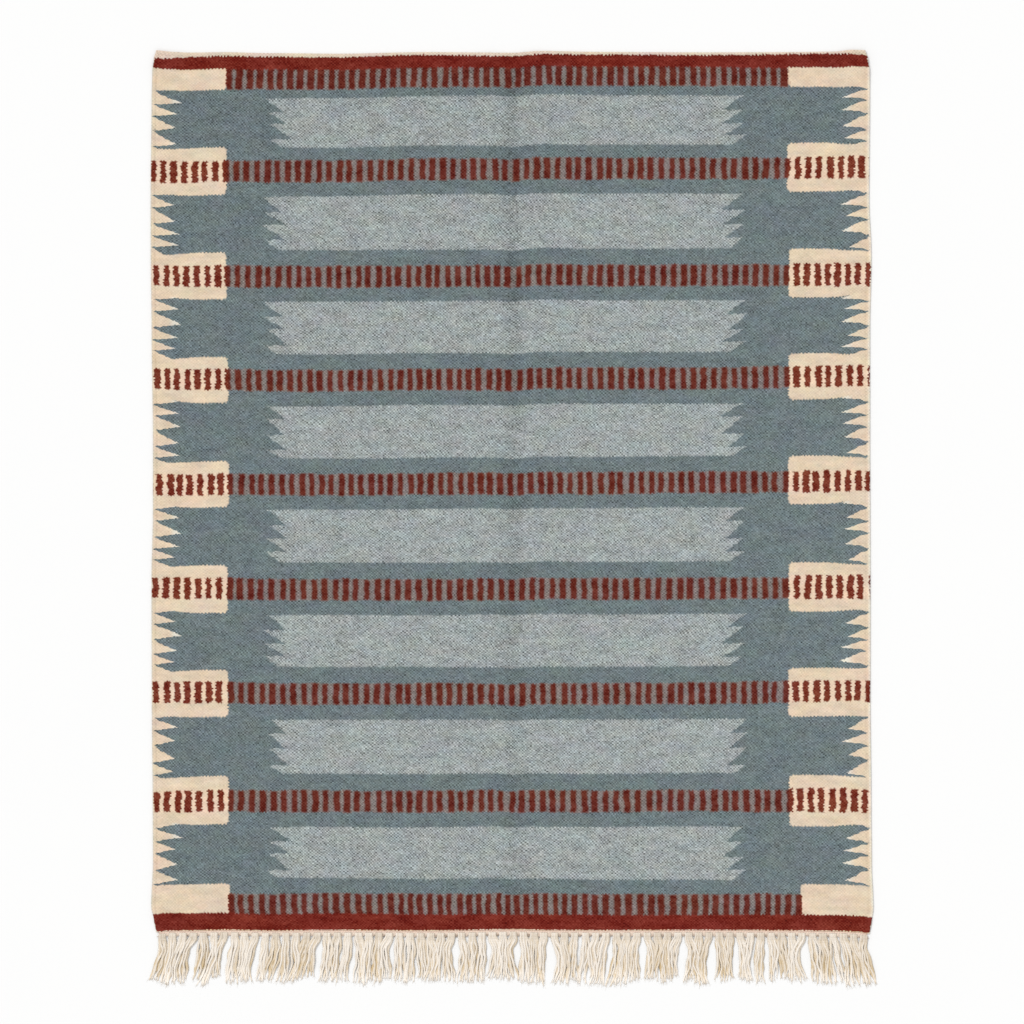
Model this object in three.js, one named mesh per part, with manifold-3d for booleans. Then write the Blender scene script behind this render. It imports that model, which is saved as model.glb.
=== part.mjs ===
// A flat-woven kilim rug that lies on a floor, with loose warp fringe at its foot.
// Millimetres, +Z up, +X across the width, +Y towards the plain hem. "Down" is the way from
// the hem to the foot, and "across" is the way from the middle line to the right selvedge.
import * as THREE from "three";
import { mergeVertices } from "three/addons/utils/BufferGeometryUtils.js";
import Module from "manifold-3d";

// The woven cloth
const CLOTH_WIDTH = 1600;
const CLOTH_LENGTH = 1956;
const CLOTH_THICKNESS = 4;
const EDGE_THICKNESS = 2.6;
const SELVEDGE_WIDTH = 10;
const HEM_DEPTH = 12;
const EDGE_ROLL = 0.6; // how far the selvedge cord and the hem stand above the cloth
const STITCH_DIP = 0.5; // the stitched line just inside each of them
const ROLL_LINES = { top: 0.2, side: 0.8, dip: 1, cloth: 1.3 }; // in widths of the roll

// How far each selvedge lies outside its straight line (minus is inside), from hem to foot.
const SELVEDGES = [
  { down: 0, left: -9.8, right: -11 },
  { down: 20, left: -5, right: -5 },
  { down: 46, left: -1.5, right: -1.2 },
  { down: 108, left: 0, right: -0.8 },
  { down: 330, left: 2.2, right: -2.4 },
  { down: 454, left: 2, right: 2.6 },
  { down: 620, left: 0, right: -0.6 },
  { down: 865, left: -2.9, right: -0.6 },
  { down: 1021, left: -2.9, right: 0 },
  { down: 1177, left: 0.3, right: 0.4 },
  { down: 1444, left: -0.4, right: 0.2 },
  { down: 1666, left: -2.4, right: 2.2 },
  { down: 1800, left: -2.9, right: 3.3 },
  { down: 1900, left: 1.1, right: 7.1 },
  { down: 1929, left: -5, right: 3.5 },
  { down: 1956, left: -10, right: -1 },
];

// How far the hem and the foot lie outside their straight lines, from left to right.
const ENDS = [
  { across: -800, hem: 4.2, foot: 3 },
  { across: -759, hem: 0.7, foot: 0.4 },
  { across: -725, hem: -0.7, foot: 0.4 },
  { across: -647, hem: 0.2, foot: -1.5 },
  { across: -547, hem: -1.8, foot: 0.4 },
  { across: -391, hem: -3.1, foot: -0.7 },
  { across: -191, hem: 0.4, foot: 0.4 },
  { across: 2, hem: -1.1, foot: -2 },
  { across: 76, hem: 2.9, foot: -0.7 },
  { across: 198, hem: 0.9, foot: 0 },
  { across: 421, hem: -0.2, foot: -0.9 },
  { across: 599, hem: 0.2, foot: 0 },
  { across: 732, hem: 1.6, foot: 1.3 },
  { across: 770, hem: 5.6, foot: 3.3 },
  { across: 800, hem: 0.5, foot: 6.2 },
];

// Where the cloth lifts off the floor. The old lengthwise fold is a valley on the floor between
// two low swells, and the crosswise folds are single swells that fade towards the selvedges.
const LENGTHWISE_SWELLS = [
  { across: -46, rise: 2.6, reach: 58, waves: 2.2, phase: 0.4 },
  { across: 52, rise: 2.1, reach: 60, waves: 1.7, phase: 2.1 },
];
const CROSSWISE_SWELLS = [
  { down: 470, rise: 1.3, reach: 120, waves: 1.3, phase: 0.9 },
  { down: 985, rise: 1.6, reach: 110, waves: 0.9, phase: 2.6 },
  { down: 1500, rise: 1.1, reach: 130, waves: 1.6, phase: 4.4 },
];
const CORNER_CURLS = [
  { across: -800, down: 0, rise: 2.4, reach: 95 },
  { across: 800, down: 0, rise: 3, reach: 110 },
];
const SIDE_FADE_POWER = 4; // how late the crosswise swells fade on their way to a selvedge
const FLAT_AT_FOOT = 150; // the last stretch before the fringe, where every swell dies away
const WIDEST_CELL = 105; // of the grid that the cloth is faceted on

// The fringe: a web strip with locks of three strands each
const EDGE_GAP = 0.3; // between the cloth's foot and the web strip
const WEB_DEPTH = 10.5;
const WEB_THICKNESS = 3.8;
const WEB_INSET = 6; // how far each end of the strip stops short of the cloth's corner
const WEB_EDGE_THICKNESS = 3;
const LOCKS = 69;
const STRANDS_IN_LOCK = 3;
const STRAND_WIDTH = 4.4;
const STRAND_HEIGHT = 3;
const TIP_SHARE = 0.6; // of a strand's width and height, left at its tip
const STRAND_CLEARANCE = 0.9;
const ROOT_DEPTH = 4; // how far a strand reaches into the strip
const ROOT_PITCH = 4.9;
const SPREAD_ROUNDS = 200;
const BEND_DEPTHS = [0, 21, 43, 65, 87, 124]; // below the strip, the last one past every tip
const LONGEST = 118;
const SHORTEST = 94;

// Which way the locks lie: how far their tips drift to the right, from left to right.
const LEAN = [
  { across: -790, drift: -19 },
  { across: -745, drift: -4 },
  { across: -640, drift: -9 },
  { across: -440, drift: -12 },
  { across: -250, drift: -3 },
  { across: 120, drift: 1 },
  { across: 330, drift: 2 },
  { across: 560, drift: 4 },
  { across: 690, drift: 9 },
  { across: 790, drift: 17 },
];
const DRIFT_POWER = 1.4; // a strand drifts little at its root and most at its tip
const CURL_HALF_TURNS = 1.7;
const SPLAY = 2.6; // how far a lock's outer strands drift away from its middle one
// How much the locks differ from each other, and the strands of one lock, each way. Drift, gather,
// splay and curl are millimetres, and a length is a share of the way from shortest to longest.
const LOCK_VARIES = { root: 1.4, drift: 4, gather: 7, splay: 2.2, length: 0.32 };
const STRAND_VARIES = { drift: 2, curl: 2.4, length: 0.18 };
const LOCK_SEEDS = { root: 11, drift: 101, gather: 151, splay: 307, length: 211 };
const STRAND_SEEDS = { drift: 503, curl: 601, length: 401 };

// Eases from row to row of a table: the value in one column at a place along another.
function along(table, key, value, place) {
  const next = table.findIndex((row) => row[key] > place);
  if (next === 0) return table[0][value];
  if (next < 0) return table.at(-1)[value];
  const before = table[next - 1];
  const after = table[next];
  const share = THREE.MathUtils.smoothstep(place, before[key], after[key]);
  return THREE.MathUtils.lerp(before[value], after[value], share);
}

// A number between -1 and 1 that looks random and is the same each time.
function chance(seed) {
  const turned = Math.sin(seed * 12.9898) * 43758.5453;
  return 2 * (turned - Math.floor(turned)) - 1;
}

// A smooth hump: 1 in the middle, 0 from its reach outwards.
function hump(distance, reach) {
  const share = Math.min(Math.abs(distance) / reach, 1);
  return Math.cos((share * Math.PI) / 2) ** 2;
}

// A slow swing between 0 and 1 along a fold, so that no swell is the same all the way.
function swing(share, { waves, phase }) {
  return 0.5 + 0.5 * Math.sin(share * waves * Math.PI * 2 + phase);
}

// How far the cloth's back is off the floor at a place.
function lift(across, down) {
  let height = 0;
  for (const swell of LENGTHWISE_SWELLS)
    height += swell.rise * hump(across - swell.across, swell.reach) * swing(down / CLOTH_LENGTH, swell);
  const inFromSide = 1 - Math.abs(across / (CLOTH_WIDTH / 2)) ** SIDE_FADE_POWER;
  for (const swell of CROSSWISE_SWELLS) {
    const swung = swing(across / CLOTH_WIDTH, swell) * inFromSide;
    height += swell.rise * hump(down - swell.down, swell.reach) * swung;
  }
  for (const curl of CORNER_CURLS)
    height += curl.rise * hump(Math.hypot(across - curl.across, down - curl.down), curl.reach);
  return height * THREE.MathUtils.smoothstep(CLOTH_LENGTH - down, 0, FLAT_AT_FOOT);
}

// Where a place of the woven rectangle lies once the edges have wandered.
function lieAt(across, down) {
  const shareAcross = across / CLOTH_WIDTH + 0.5;
  const shareDown = down / CLOTH_LENGTH;
  const x = THREE.MathUtils.lerp(
    across - along(SELVEDGES, "down", "left", down),
    across + along(SELVEDGES, "down", "right", down),
    shareAcross,
  );
  const y = THREE.MathUtils.lerp(
    CLOTH_LENGTH / 2 - down + along(ENDS, "across", "hem", across),
    CLOTH_LENGTH / 2 - down - along(ENDS, "across", "foot", across),
    shareDown,
  );
  return new THREE.Vector2(x, y);
}

// The cloth's thickness: a thin rim, then the rolled selvedge or hem, the stitched dip beside it,
// and plain cloth. Distances in from an edge are measured in widths of its roll.
function clothThickness(across, down) {
  const fromSide = CLOTH_WIDTH / 2 - Math.abs(across);
  const rolls = Math.min(fromSide / SELVEDGE_WIDTH, down / HEM_DEPTH);
  if (rolls <= 0) return EDGE_THICKNESS;
  if (rolls < ROLL_LINES.dip) return CLOTH_THICKNESS + EDGE_ROLL;
  if (rolls < ROLL_LINES.cloth) return CLOTH_THICKNESS - STITCH_DIP;
  return down < CLOTH_LENGTH ? CLOTH_THICKNESS : WEB_THICKNESS;
}

// Even steps from one value to another, both ends included.
function steps(from, to, count) {
  return Array.from({ length: count + 1 }, (_, i) => from + ((to - from) * i) / count);
}

// Lines of the grid next to an edge: the rim, both sides of its roll, the dip and the cloth.
function edgeLines(rollWidth) {
  return [0, ...Object.values(ROLL_LINES).map((line) => line * rollWidth)];
}

// Puts lines into the gaps of a list so that none is wider than the widest allowed.
function filledIn(lines, widest) {
  return lines.flatMap((line, i) => {
    const next = lines[i + 1];
    return next === undefined ? [line] : steps(line, next, Math.ceil((next - line) / widest)).slice(0, -1);
  });
}

function ascending(lines) {
  return [...new Set(lines)].sort((a, b) => a - b);
}

// Grid lines that run down the cloth: at the stations of the hem and foot, along the lengthwise
// swells, and beside the selvedges.
function gridColumns() {
  const half = CLOTH_WIDTH / 2;
  const sides = edgeLines(SELVEDGE_WIDTH).flatMap((inward) => [half - inward, inward - half]);
  const stations = ENDS.map((row) => row.across).filter((across) => Math.abs(across) < half);
  const swells = LENGTHWISE_SWELLS.flatMap(({ across, reach }) => steps(across - reach, across + reach, 4));
  return filledIn(ascending([...sides, ...stations, ...swells]), WIDEST_CELL);
}

// Grid lines that run across it: beside the hem, and at the stations of the selvedges.
function gridRows() {
  const stations = SELVEDGES.map((row) => row.down);
  return filledIn(ascending([...edgeLines(HEM_DEPTH), ...stations]), WIDEST_CELL);
}

// A closed sheet over a grid: its face, its back, and a rim of walls between them.
function closedSheet(columns, rows, placeAt, backAt, faceAt) {
  const places = [];
  for (const heightAt of [faceAt, backAt])
    for (const row of rows)
      for (const column of columns) {
        const place = placeAt(column, row);
        places.push(place.x, place.y, heightAt(column, row));
      }
  const across = columns.length;
  const layer = across * rows.length;
  const faces = [];
  const quad = (a, b, c, d) => faces.push(a, b, c, a, c, d);
  for (let row = 0; row + 1 < rows.length; row++)
    for (let column = 0; column + 1 < across; column++) {
      const a = row * across + column;
      const b = a + across;
      quad(a, b, b + 1, a + 1);
      quad(layer + a, layer + a + 1, layer + b + 1, layer + b);
    }
  const last = layer - across;
  for (let column = 0; column + 1 < across; column++) {
    quad(column, column + 1, layer + column + 1, layer + column);
    quad(last + column + 1, last + column, layer + last + column, layer + last + column + 1);
  }
  for (let row = 0; row + 1 < rows.length; row++) {
    const a = row * across;
    const b = a + across;
    quad(b, a, layer + a, layer + b);
    quad(a + across - 1, b + across - 1, layer + b + across - 1, layer + a + across - 1);
  }
  return new THREE.BufferGeometry()
    .setAttribute("position", new THREE.Float32BufferAttribute(places, 3))
    .setIndex(faces);
}

function clothGeometry() {
  const faceHeight = (across, down) => lift(across, down) + clothThickness(across, down);
  return closedSheet(gridColumns(), gridRows(), lieAt, lift, faceHeight);
}

// The strip's own edge at its top keeps a constant small gap to the cloth's foot.
function webPlace(across, depth) {
  const foot = lieAt(across, CLOTH_LENGTH);
  return new THREE.Vector2(foot.x, foot.y - EDGE_GAP - depth);
}

function webGeometry() {
  const limit = CLOTH_WIDTH / 2 - WEB_INSET;
  const inside = gridColumns().filter((across) => Math.abs(across) < limit - WEB_INSET / 2);
  const columns = [-limit, ...inside, limit];
  const crown = (across, depth) => (depth > 0 && depth < WEB_DEPTH ? WEB_THICKNESS : WEB_EDGE_THICKNESS);
  return closedSheet(columns, [0, WEB_DEPTH / 2, WEB_DEPTH], webPlace, () => 0, crown);
}

// Pushes neighbours apart evenly, round after round, so that each pair keeps the given pitch.
function spreadApart(places, pitch) {
  for (let round = 0; round < SPREAD_ROUNDS; round++)
    for (let i = 0; i + 1 < places.length; i++) {
      const short = Math.max(pitch - (places[i + 1] - places[i]), 0);
      places[i] -= short / 2;
      places[i + 1] += short / 2;
    }
  return places;
}

// How much one lock or strand differs from the rest in one thing.
function lockVaries(thing, lock) {
  return LOCK_VARIES[thing] * chance(lock + LOCK_SEEDS[thing]);
}

function strandVaries(thing, number) {
  return STRAND_VARIES[thing] * chance(number + STRAND_SEEDS[thing]);
}

// Each strand's root, drift, curl and length. The strands of a lock share most of them, and two
// locks side by side gather towards each other or part.
function strandPlan() {
  const plan = [];
  const reach = CLOTH_WIDTH / 2 - WEB_INSET - ROOT_PITCH * (STRANDS_IN_LOCK / 2);
  for (let lock = 0; lock < LOCKS; lock++) {
    const even = THREE.MathUtils.lerp(-reach, reach, lock / (LOCKS - 1));
    const root = THREE.MathUtils.clamp(even + lockVaries("root", lock), -reach, reach);
    const gather = lockVaries("gather", Math.floor(lock / 2)) * (lock % 2 ? 1 : -1);
    const drift = along(LEAN, "across", "drift", root) + gather + lockVaries("drift", lock);
    const splay = SPLAY + lockVaries("splay", lock);
    for (let strand = 0; strand < STRANDS_IN_LOCK; strand++) {
      const number = lock * STRANDS_IN_LOCK + strand;
      const side = strand - (STRANDS_IN_LOCK - 1) / 2;
      const lengthShare = 0.5 + lockVaries("length", lock) + strandVaries("length", number);
      plan.push({
        root: root + side * ROOT_PITCH,
        drift: drift + side * splay + strandVaries("drift", number),
        curl: strandVaries("curl", number),
        length: THREE.MathUtils.lerp(SHORTEST, LONGEST, lengthShare),
      });
    }
  }
  return plan;
}

// A strand's place across at a depth: it drifts more the lower it gets, with one slow curl.
function strandAcross(strand, depth) {
  const share = depth / LONGEST;
  const rootAcross = webPlace(strand.root, WEB_DEPTH).x;
  const drifted = strand.drift * share ** DRIFT_POWER;
  return rootAcross + drifted + strand.curl * Math.sin(share * CURL_HALF_TURNS * Math.PI);
}

// A three-sided strand, flat side down on the floor, along places with a width and a height.
function strandGeometry(path) {
  const places = [];
  const faces = [];
  for (const { x, y, width, height } of path)
    places.push(x - width / 2, y, 0, x + width / 2, y, 0, x, y, height);
  for (let ring = 0; ring + 1 < path.length; ring++)
    for (let side = 0; side < 3; side++) {
      const a = ring * 3 + side;
      const b = ring * 3 + ((side + 1) % 3);
      faces.push(a, b, a + 3, b, b + 3, a + 3);
    }
  const tip = (path.length - 1) * 3;
  faces.push(0, 2, 1, tip, tip + 1, tip + 2);
  return new THREE.BufferGeometry()
    .setAttribute("position", new THREE.Float32BufferAttribute(places, 3))
    .setIndex(faces);
}

function strandGeometries() {
  const plan = strandPlan();
  const bends = BEND_DEPTHS.map((depth) => {
    const pitch = depth === 0 ? ROOT_PITCH : STRAND_WIDTH + STRAND_CLEARANCE;
    return spreadApart(plan.map((strand) => strandAcross(strand, depth)), pitch);
  });
  const lowest = BEND_DEPTHS.length - 1;
  return plan.map((strand, i) => {
    const footOfWeb = webPlace(strand.root, WEB_DEPTH).y;
    const section = (depth, x, share = 1) => ({
      x,
      y: footOfWeb - depth,
      width: STRAND_WIDTH * share,
      height: STRAND_HEIGHT * share,
    });
    const pastLast = strand.length - BEND_DEPTHS[lowest - 1];
    const tipShare = pastLast / (BEND_DEPTHS[lowest] - BEND_DEPTHS[lowest - 1]);
    const tipAcross = THREE.MathUtils.lerp(bends[lowest - 1][i], bends[lowest][i], tipShare);
    return strandGeometry([
      section(-ROOT_DEPTH, bends[0][i]),
      ...BEND_DEPTHS.slice(1, -1).map((depth, bend) => section(depth, bends[bend + 1][i])),
      section(strand.length, tipAcross, TIP_SHARE),
    ]);
  });
}

const wasm = await Module();
wasm.setup();

// Joins closed geometries into one.
function fuse(geometries) {
  const solids = geometries.map((geometry) => {
    const merged = mergeVertices(geometry, 1e-3);
    return new wasm.Manifold(
      new wasm.Mesh({
        numProp: 3,
        vertProperties: merged.attributes.position.array,
        triVerts: new Uint32Array(merged.index.array),
      }),
    );
  });
  const { vertProperties, triVerts } = wasm.Manifold.union(solids).getMesh();
  return new THREE.BufferGeometry()
    .setAttribute("position", new THREE.BufferAttribute(vertProperties, 3))
    .setIndex(new THREE.BufferAttribute(triVerts, 1));
}

function namedMesh(name, geometry, color) {
  geometry.computeVertexNormals();
  const material = new THREE.MeshStandardMaterial({ color, roughness: 0.95, metalness: 0 });
  const mesh = new THREE.Mesh(geometry, material);
  mesh.name = name;
  return mesh;
}

const rug = new THREE.Group();
rug.add(namedMesh("kilim_cloth", clothGeometry(), 0x64787f));
rug.add(namedMesh("warp_fringe", fuse([webGeometry(), ...strandGeometries()]), 0xe1d2b9));

// The origin is at the middle of the whole rug, on the floor.
const size = new THREE.Box3().setFromObject(rug);
const middle = size.getCenter(new THREE.Vector3());
rug.position.set(-middle.x, -middle.y, -size.min.z);

export default rug;
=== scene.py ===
"""A flat-woven kilim rug with loose warp fringe at its foot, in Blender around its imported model.

Tables and arrays are in millimetres, settings and meshes in metres. "Down" is the way from the
plain hem to the foot, and "across" is the way from the middle line to the right selvedge.
"""
from functools import partialmethod
from math import pi, radians

import bpy
import numpy as np
from bpy.props import FloatProperty, FloatVectorProperty, IntProperty, PointerProperty
from bpy.types import Operator, Panel, PropertyGroup
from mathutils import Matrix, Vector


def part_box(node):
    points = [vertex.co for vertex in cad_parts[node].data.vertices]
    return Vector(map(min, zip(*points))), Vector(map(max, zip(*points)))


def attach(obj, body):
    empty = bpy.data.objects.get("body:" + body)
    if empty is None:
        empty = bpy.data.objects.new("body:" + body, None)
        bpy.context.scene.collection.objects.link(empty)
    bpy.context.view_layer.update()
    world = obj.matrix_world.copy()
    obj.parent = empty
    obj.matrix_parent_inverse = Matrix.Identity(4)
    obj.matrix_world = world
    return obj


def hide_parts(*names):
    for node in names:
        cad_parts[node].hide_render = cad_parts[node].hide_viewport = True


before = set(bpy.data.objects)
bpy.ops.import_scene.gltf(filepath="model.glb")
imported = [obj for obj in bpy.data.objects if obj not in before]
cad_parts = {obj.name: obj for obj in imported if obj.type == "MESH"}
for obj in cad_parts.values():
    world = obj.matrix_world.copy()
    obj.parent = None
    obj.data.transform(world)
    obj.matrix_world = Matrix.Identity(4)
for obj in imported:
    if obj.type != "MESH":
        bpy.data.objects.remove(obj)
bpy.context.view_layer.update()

bl_info = {
    "name": "Kilim rug",
    "version": (1, 0, 0),
    "blender": (4, 5, 0),
    "location": "View3D > Sidebar > Kilim rug",
    "description": "Weaves a flat kilim rug with warp fringe and sets a plain studio round it",
    "category": "Object",
}

MM = 0.001

# The cloth's outline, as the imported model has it: how far each selvedge, the hem and the foot lie
# outside their straight lines (minus is inside).
SELVEDGES = {
    "down": (0, 20, 46, 108, 330, 454, 620, 865, 1021, 1177, 1444, 1666, 1800, 1900, 1929, 1956),
    "left": (-9.8, -5, -1.5, 0, 2.2, 2, 0, -2.9, -2.9, 0.3, -0.4, -2.4, -2.9, 1.1, -5, -10),
    "right": (-11, -5, -1.2, -0.8, -2.4, 2.6, -0.6, -0.6, 0, 0.4, 0.2, 2.2, 3.3, 7.1, 3.5, -1),
}
ENDS = {
    "across": (-800, -759, -725, -647, -547, -391, -191, 2, 76, 198, 421, 599, 732, 770, 800),
    "hem": (4.2, 0.7, -0.7, 0.2, -1.8, -3.1, 0.4, -1.1, 2.9, 0.9, -0.2, 0.2, 1.6, 5.6, 4.4),
    "foot": (3, 0.4, 0.4, -1.5, 0.4, -0.7, 0.4, -2, -0.7, 0, -0.9, 0, 1.3, 3.3, 6.2),
}

# Where the cloth lifts off the floor: low swells beside the old folds, and two curled corners.
LENGTHWISE_SWELLS = (
    {"across": -46, "rise": 2.6, "reach": 58, "waves": 2.2, "phase": 0.4},
    {"across": 52, "rise": 2.1, "reach": 60, "waves": 1.7, "phase": 2.1},
)
CROSSWISE_SWELLS = (
    {"down": 470, "rise": 1.3, "reach": 120, "waves": 1.3, "phase": 0.9},
    {"down": 985, "rise": 1.6, "reach": 110, "waves": 0.9, "phase": 2.6},
    {"down": 1500, "rise": 1.1, "reach": 130, "waves": 1.6, "phase": 4.4},
)
CORNER_CURLS = (
    {"across": -800, "down": 0, "rise": 2.4, "reach": 95},
    {"across": 800, "down": 0, "rise": 3, "reach": 110},
)
SIDE_FADE_POWER = 4
FLAT_AT_FOOT = 150

# The cloth's edges: the roll, the stitched line inside it, the grid's lines from the rim in, how
# much longer a cell of the grid is than wide, and how far from the foot the cloth thins and turns
EDGE_ROLL = 0.6
STITCH = {"line": 9.5, "dip": 0.5, "dip_line": 10.2, "reach": 2}
RIM_LINES = (0, 0.3, 0.6, 1.1, 1.8, 3, 4.6, 6.4, 8, 9, 10, 11.2, 13, 17)
RIM_LINES_AT_FOOT = 5
CELL_LONGER = 1.06
THINNED_AT_FOOT = 20
ROUND_AT_FOOT = 0.3

# The stripe chart: each line's distance from the hem at the left selvedge, in the middle and at
# the right selvedge.
BAR_ROWS = (
    (267, 260.2, 258),
    (499.1, 497.8, 497.2),
    (727.5, 728.6, 719.8),
    (962.9, 960.3, 954.8),
    (1192.7, 1196.1, 1191),
    (1423, 1429.7, 1419.6),
    (1667.8, 1667.3, 1667),
)
END_LINES = {
    "hem_foot": (10.8, 6.6, 5.6),
    "band_foot": (40.2, 31.4, 36),
    "comb_foot": (85.6, 76.3, 77.3),
    "first_panel_top": (103, 97.2, 96.6),
    "last_panel_foot": (1836, 1840.5, 1845),
    "last_block_top": (1853, 1853, 1852),
    "last_comb_top": (1872, 1874, 1873),
    "last_band_top": (1915, 1919.5, 1919),
}
LINE_WANDERS = (
    {"size": 0.605, "period": 187, "phase": 2.4},
    {"size": 0.495, "period": 71, "phase": 4.1},
)
# The crease: how the stripes dip beside it, and the painted shade along it, fainter towards the
# foot
CREASE = {"across": 3, "reach": 44, "dip": 2.6, "width": 19, "shade": 0.2, "less_at_foot": 0.096}
CORNER_SAG = {"from": 680, "over": 130, "sag": 4.4, "fade": 450}
NO_DIP_AT_HEM = 60
HEM_CORNERS = {"from": 715, "over": 85, "wider": 6.5}
FOOT_EDGE = 1.9

# The bars of each row, from the comb under the hem to the comb at the foot: the first bar's
# place across, the way from each bar to the next, and how far the row strays from that, at seven
# places across.
BARS_FIRST = (-628.4, -795, -789.5, -789, -784, -788.7, -787.7, -790.8, -619.9)
BARS_PITCH = (22.98, 23.11, 22.57, 22.6, 22.45, 23.34, 23.31, 23.42, 22.76)
BAR_SLIPS = {
    "across": (-790, -500, -250, -60, 150, 420, 790),
    "slip": (
        (2.8, -1.7, -1.9, 0.3, -0.9, 0.8, -11.2),
        (0.3, -0.6, -2.4, -2.2, 0.2, -2, 7),
        (0.8, 3.1, -2.5, -7.4, -5.6, -0.3, 3.5),
        (-0.2, 2.3, -0.4, -6.5, -6.4, -3.1, 7.6),
        (-0.3, 2.7, -2.4, -3.7, -5.9, -3.6, 7.5),
        (-1.8, 0, 1.5, -2.6, -6.1, -2, 3.4),
        (-2.2, 0.6, 0.7, -3, -4.3, 1.7, -1.9),
        (0.7, 1.8, 1.2, -4.8, -10, -1.2, 7),
        (-11.1, -1.3, 8.9, -1.6, -17.7, 1.7, 6),
    ),
}
MEAN_BAR_PITCH = 23
BAR_REACH = 24
COMB = {"at_hem": 110, "at_foot": 115, "last_row": 8, "into_block": 6, "band_step": 2.2}
END_BAR = {"middle": -5.2, "half": 6.3, "elsewhere": -100}

# How the bars vary: sideways, in half their width, in length, and in the spurs and the bend of
# their sides; how much the spurs show and how sharp the bars are, elsewhere and on the end blocks;
# and how far the corners of bars, bands and blocks are rounded
BARS_VARY = {"across": 1.7, "half": 0.8, "length": 1.5, "spur": 2.1}
BAR_BEND = {"by": 3.2, "length": 19, "apart": 3.7}
SPURS_SHOW = (0.25, 1)
BAR_SHARPNESS = (0.22, 0.37)
BARS_WIDER = {"on_blocks": 0.15, "in_first_comb": 0.5}
ROUNDED = {"block": 16, "bar": 6, "band": 3, "end_bar": 1.5}

# The end blocks' reach above and below the middle of their row of bars, at each side; the light
# panels' stripes and ends; and the teeth at the panels' ends and the selvedges
BLOCKS_ABOVE = {
    "left": (53.5, 52.5, 49.8, 51.4, 51.3, 49.6, 55.3),
    "right": (55.6, 59.6, 51.5, 57.2, 57.4, 51.7, 58.3),
}
BLOCKS_BELOW = {
    "left": (52.4, 52, 52.7, 51.2, 54.9, 55.3, 52.5),
    "right": (52.9, 48.7, 51.1, 50.3, 51.8, 56.1, 55.9),
}
TAPERS_ABOVE = {
    "left": (3, 7, 7, 2.6, 5, 5.3, 3.1),
    "right": (6.3, 5.8, 5.2, 6, 5.6, 3.2, 3.3),
}
TAPERS_BELOW = {
    "left": (2.3, 6.5, 7.2, 4.6, 5.5, 0.8, 5.7),
    "right": (1.9, 5.3, 7.9, 7.1, 3.6, 0, 5.5),
}
TALLER_BARS = {"left": (0, 0, 0, 0, 0, 0, 0), "right": (0, 3.5, 0, 0, 5.5, 0, 5.5)}
TALLER_BARS_REACH = 60
MEAN_BLOCK_REACH = 53
BLOCK_TAPER = {"from": 690, "over": 95}
BLOCK_STARTS = {"left": 631, "right": 618}
LAST_BLOCK_STARTS = {"left": 627, "right": 638}
BLOCK_STARTS_VARY = 1.5
STRIPES_ABOVE = (53, 59.7, 59, 58.5, 60.6, 60.5, 61.5)
STRIPES_BELOW = (56, 55.5, 56.7, 55.8, 56.6, 57.3, 57.4)
PANEL_ENDS = {"left": 545, "right": 520}
PANEL_ENDS_VARY = {"place": 5, "slant": 4}
PANEL_TEETH = {
    "count": 3.64, "first": 0, "late": 0.1, "waves": 2.1, "panel_seed": 2.9, "side_seed": 41,
    "stray": 0.05, "reach": (38, 52), "place": 4, "fray": 1.2, "soft": 3.8,
}
SIDE_TEETH = {
    "count": 4.24, "first": 199.94, "late": 0.12, "waves": 1.9, "panel_seed": 6.3, "side_seed": 17,
    "stray": 0.04, "reach": (48, 66), "place": 3, "tip": (3.4, 8.4), "turn": 0.76, "blunt": 0.08,
    "soft": 3.4,
}
TEETH_NUMBERED = {"by_panel": 6, "by_side": 60}

# Lines along the edges: how wide, how soft and how strong each is: painted shade along the stitched
# line and the rolled rim, the rim's shade fainter at the right, where a lit rim of painted light
# takes its place. The side teeth's tips are washed out.
STITCH_SHADE = (1.6, 2.5, 0.05)
RIM_SHADE_LINE = (2.8, 2.2, 0.55)
RIM_SHADE_LESS_AT_RIGHT = 0.8
LIT_RIM = (4.6, 4, 1)
LIT_RIM_PALER = 0.6
LIT_RIM_LIGHTER = 0.12
RIGHT_HALF_SOFT = 100
REDS_IN_SIDE = {"from_side": 0.3, "fray": 1.1}
WASHED_TIPS = {"by_mm": 0.07, "less": 2.7, "most": 0.8}

# The weave: how far its warps and picks wander, the strength of its slanting lines, how far its
# crossings and chance fray an edge, and how the dye's depth changes over the cloth
WANDER = {"warps": 2.2, "picks": -1.4}
FIRST_WARP = 400
SLANT = 0.08
FRAY_ACROSS = {"crossing": 0.8, "chance": 1.4}
FRAY_DOWN = {"crossing": 0.6, "chance": 0.8}
DYE = {"at_hem": -0.29, "fade": 300, "to_right": 0.00011, "base": 0.05}

# How strongly each yarn area shows the weave (painted light on the raised weft and painted shade in
# its pits, partly the warps' own lighter colour), its mixed fibres and its uneven dye, in this
# order;
# how strongly single crossings show; and how strongly each part of a red's colour shows them all
CONTRASTS = {
    "field": (0.36, 0.2, 0.1),
    "panels": (0.44, 0.22, 0.11),
    "teeth": (0.08, 0.05, 0.09),
    "between_bars": (0.34, 0.16, 0.1),
    "blocks": (0.075, 0.045, 0.09),
    "reds": (0.34, 0.3, 0.36),
    "edges": (0.12, 0.05, 0.06),
}
CROSSING_SHOWS = (0.3, 1.7)
RED_SHADES = (0.58, 1.42, 1.73)
WHITE = (1.0, 1.0, 1.0)
DARKEST = (0.25, 0.25, 0.25)
BUMP_STRENGTH = 0.6
SHEEN_ROUGHNESS = 0.6

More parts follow.
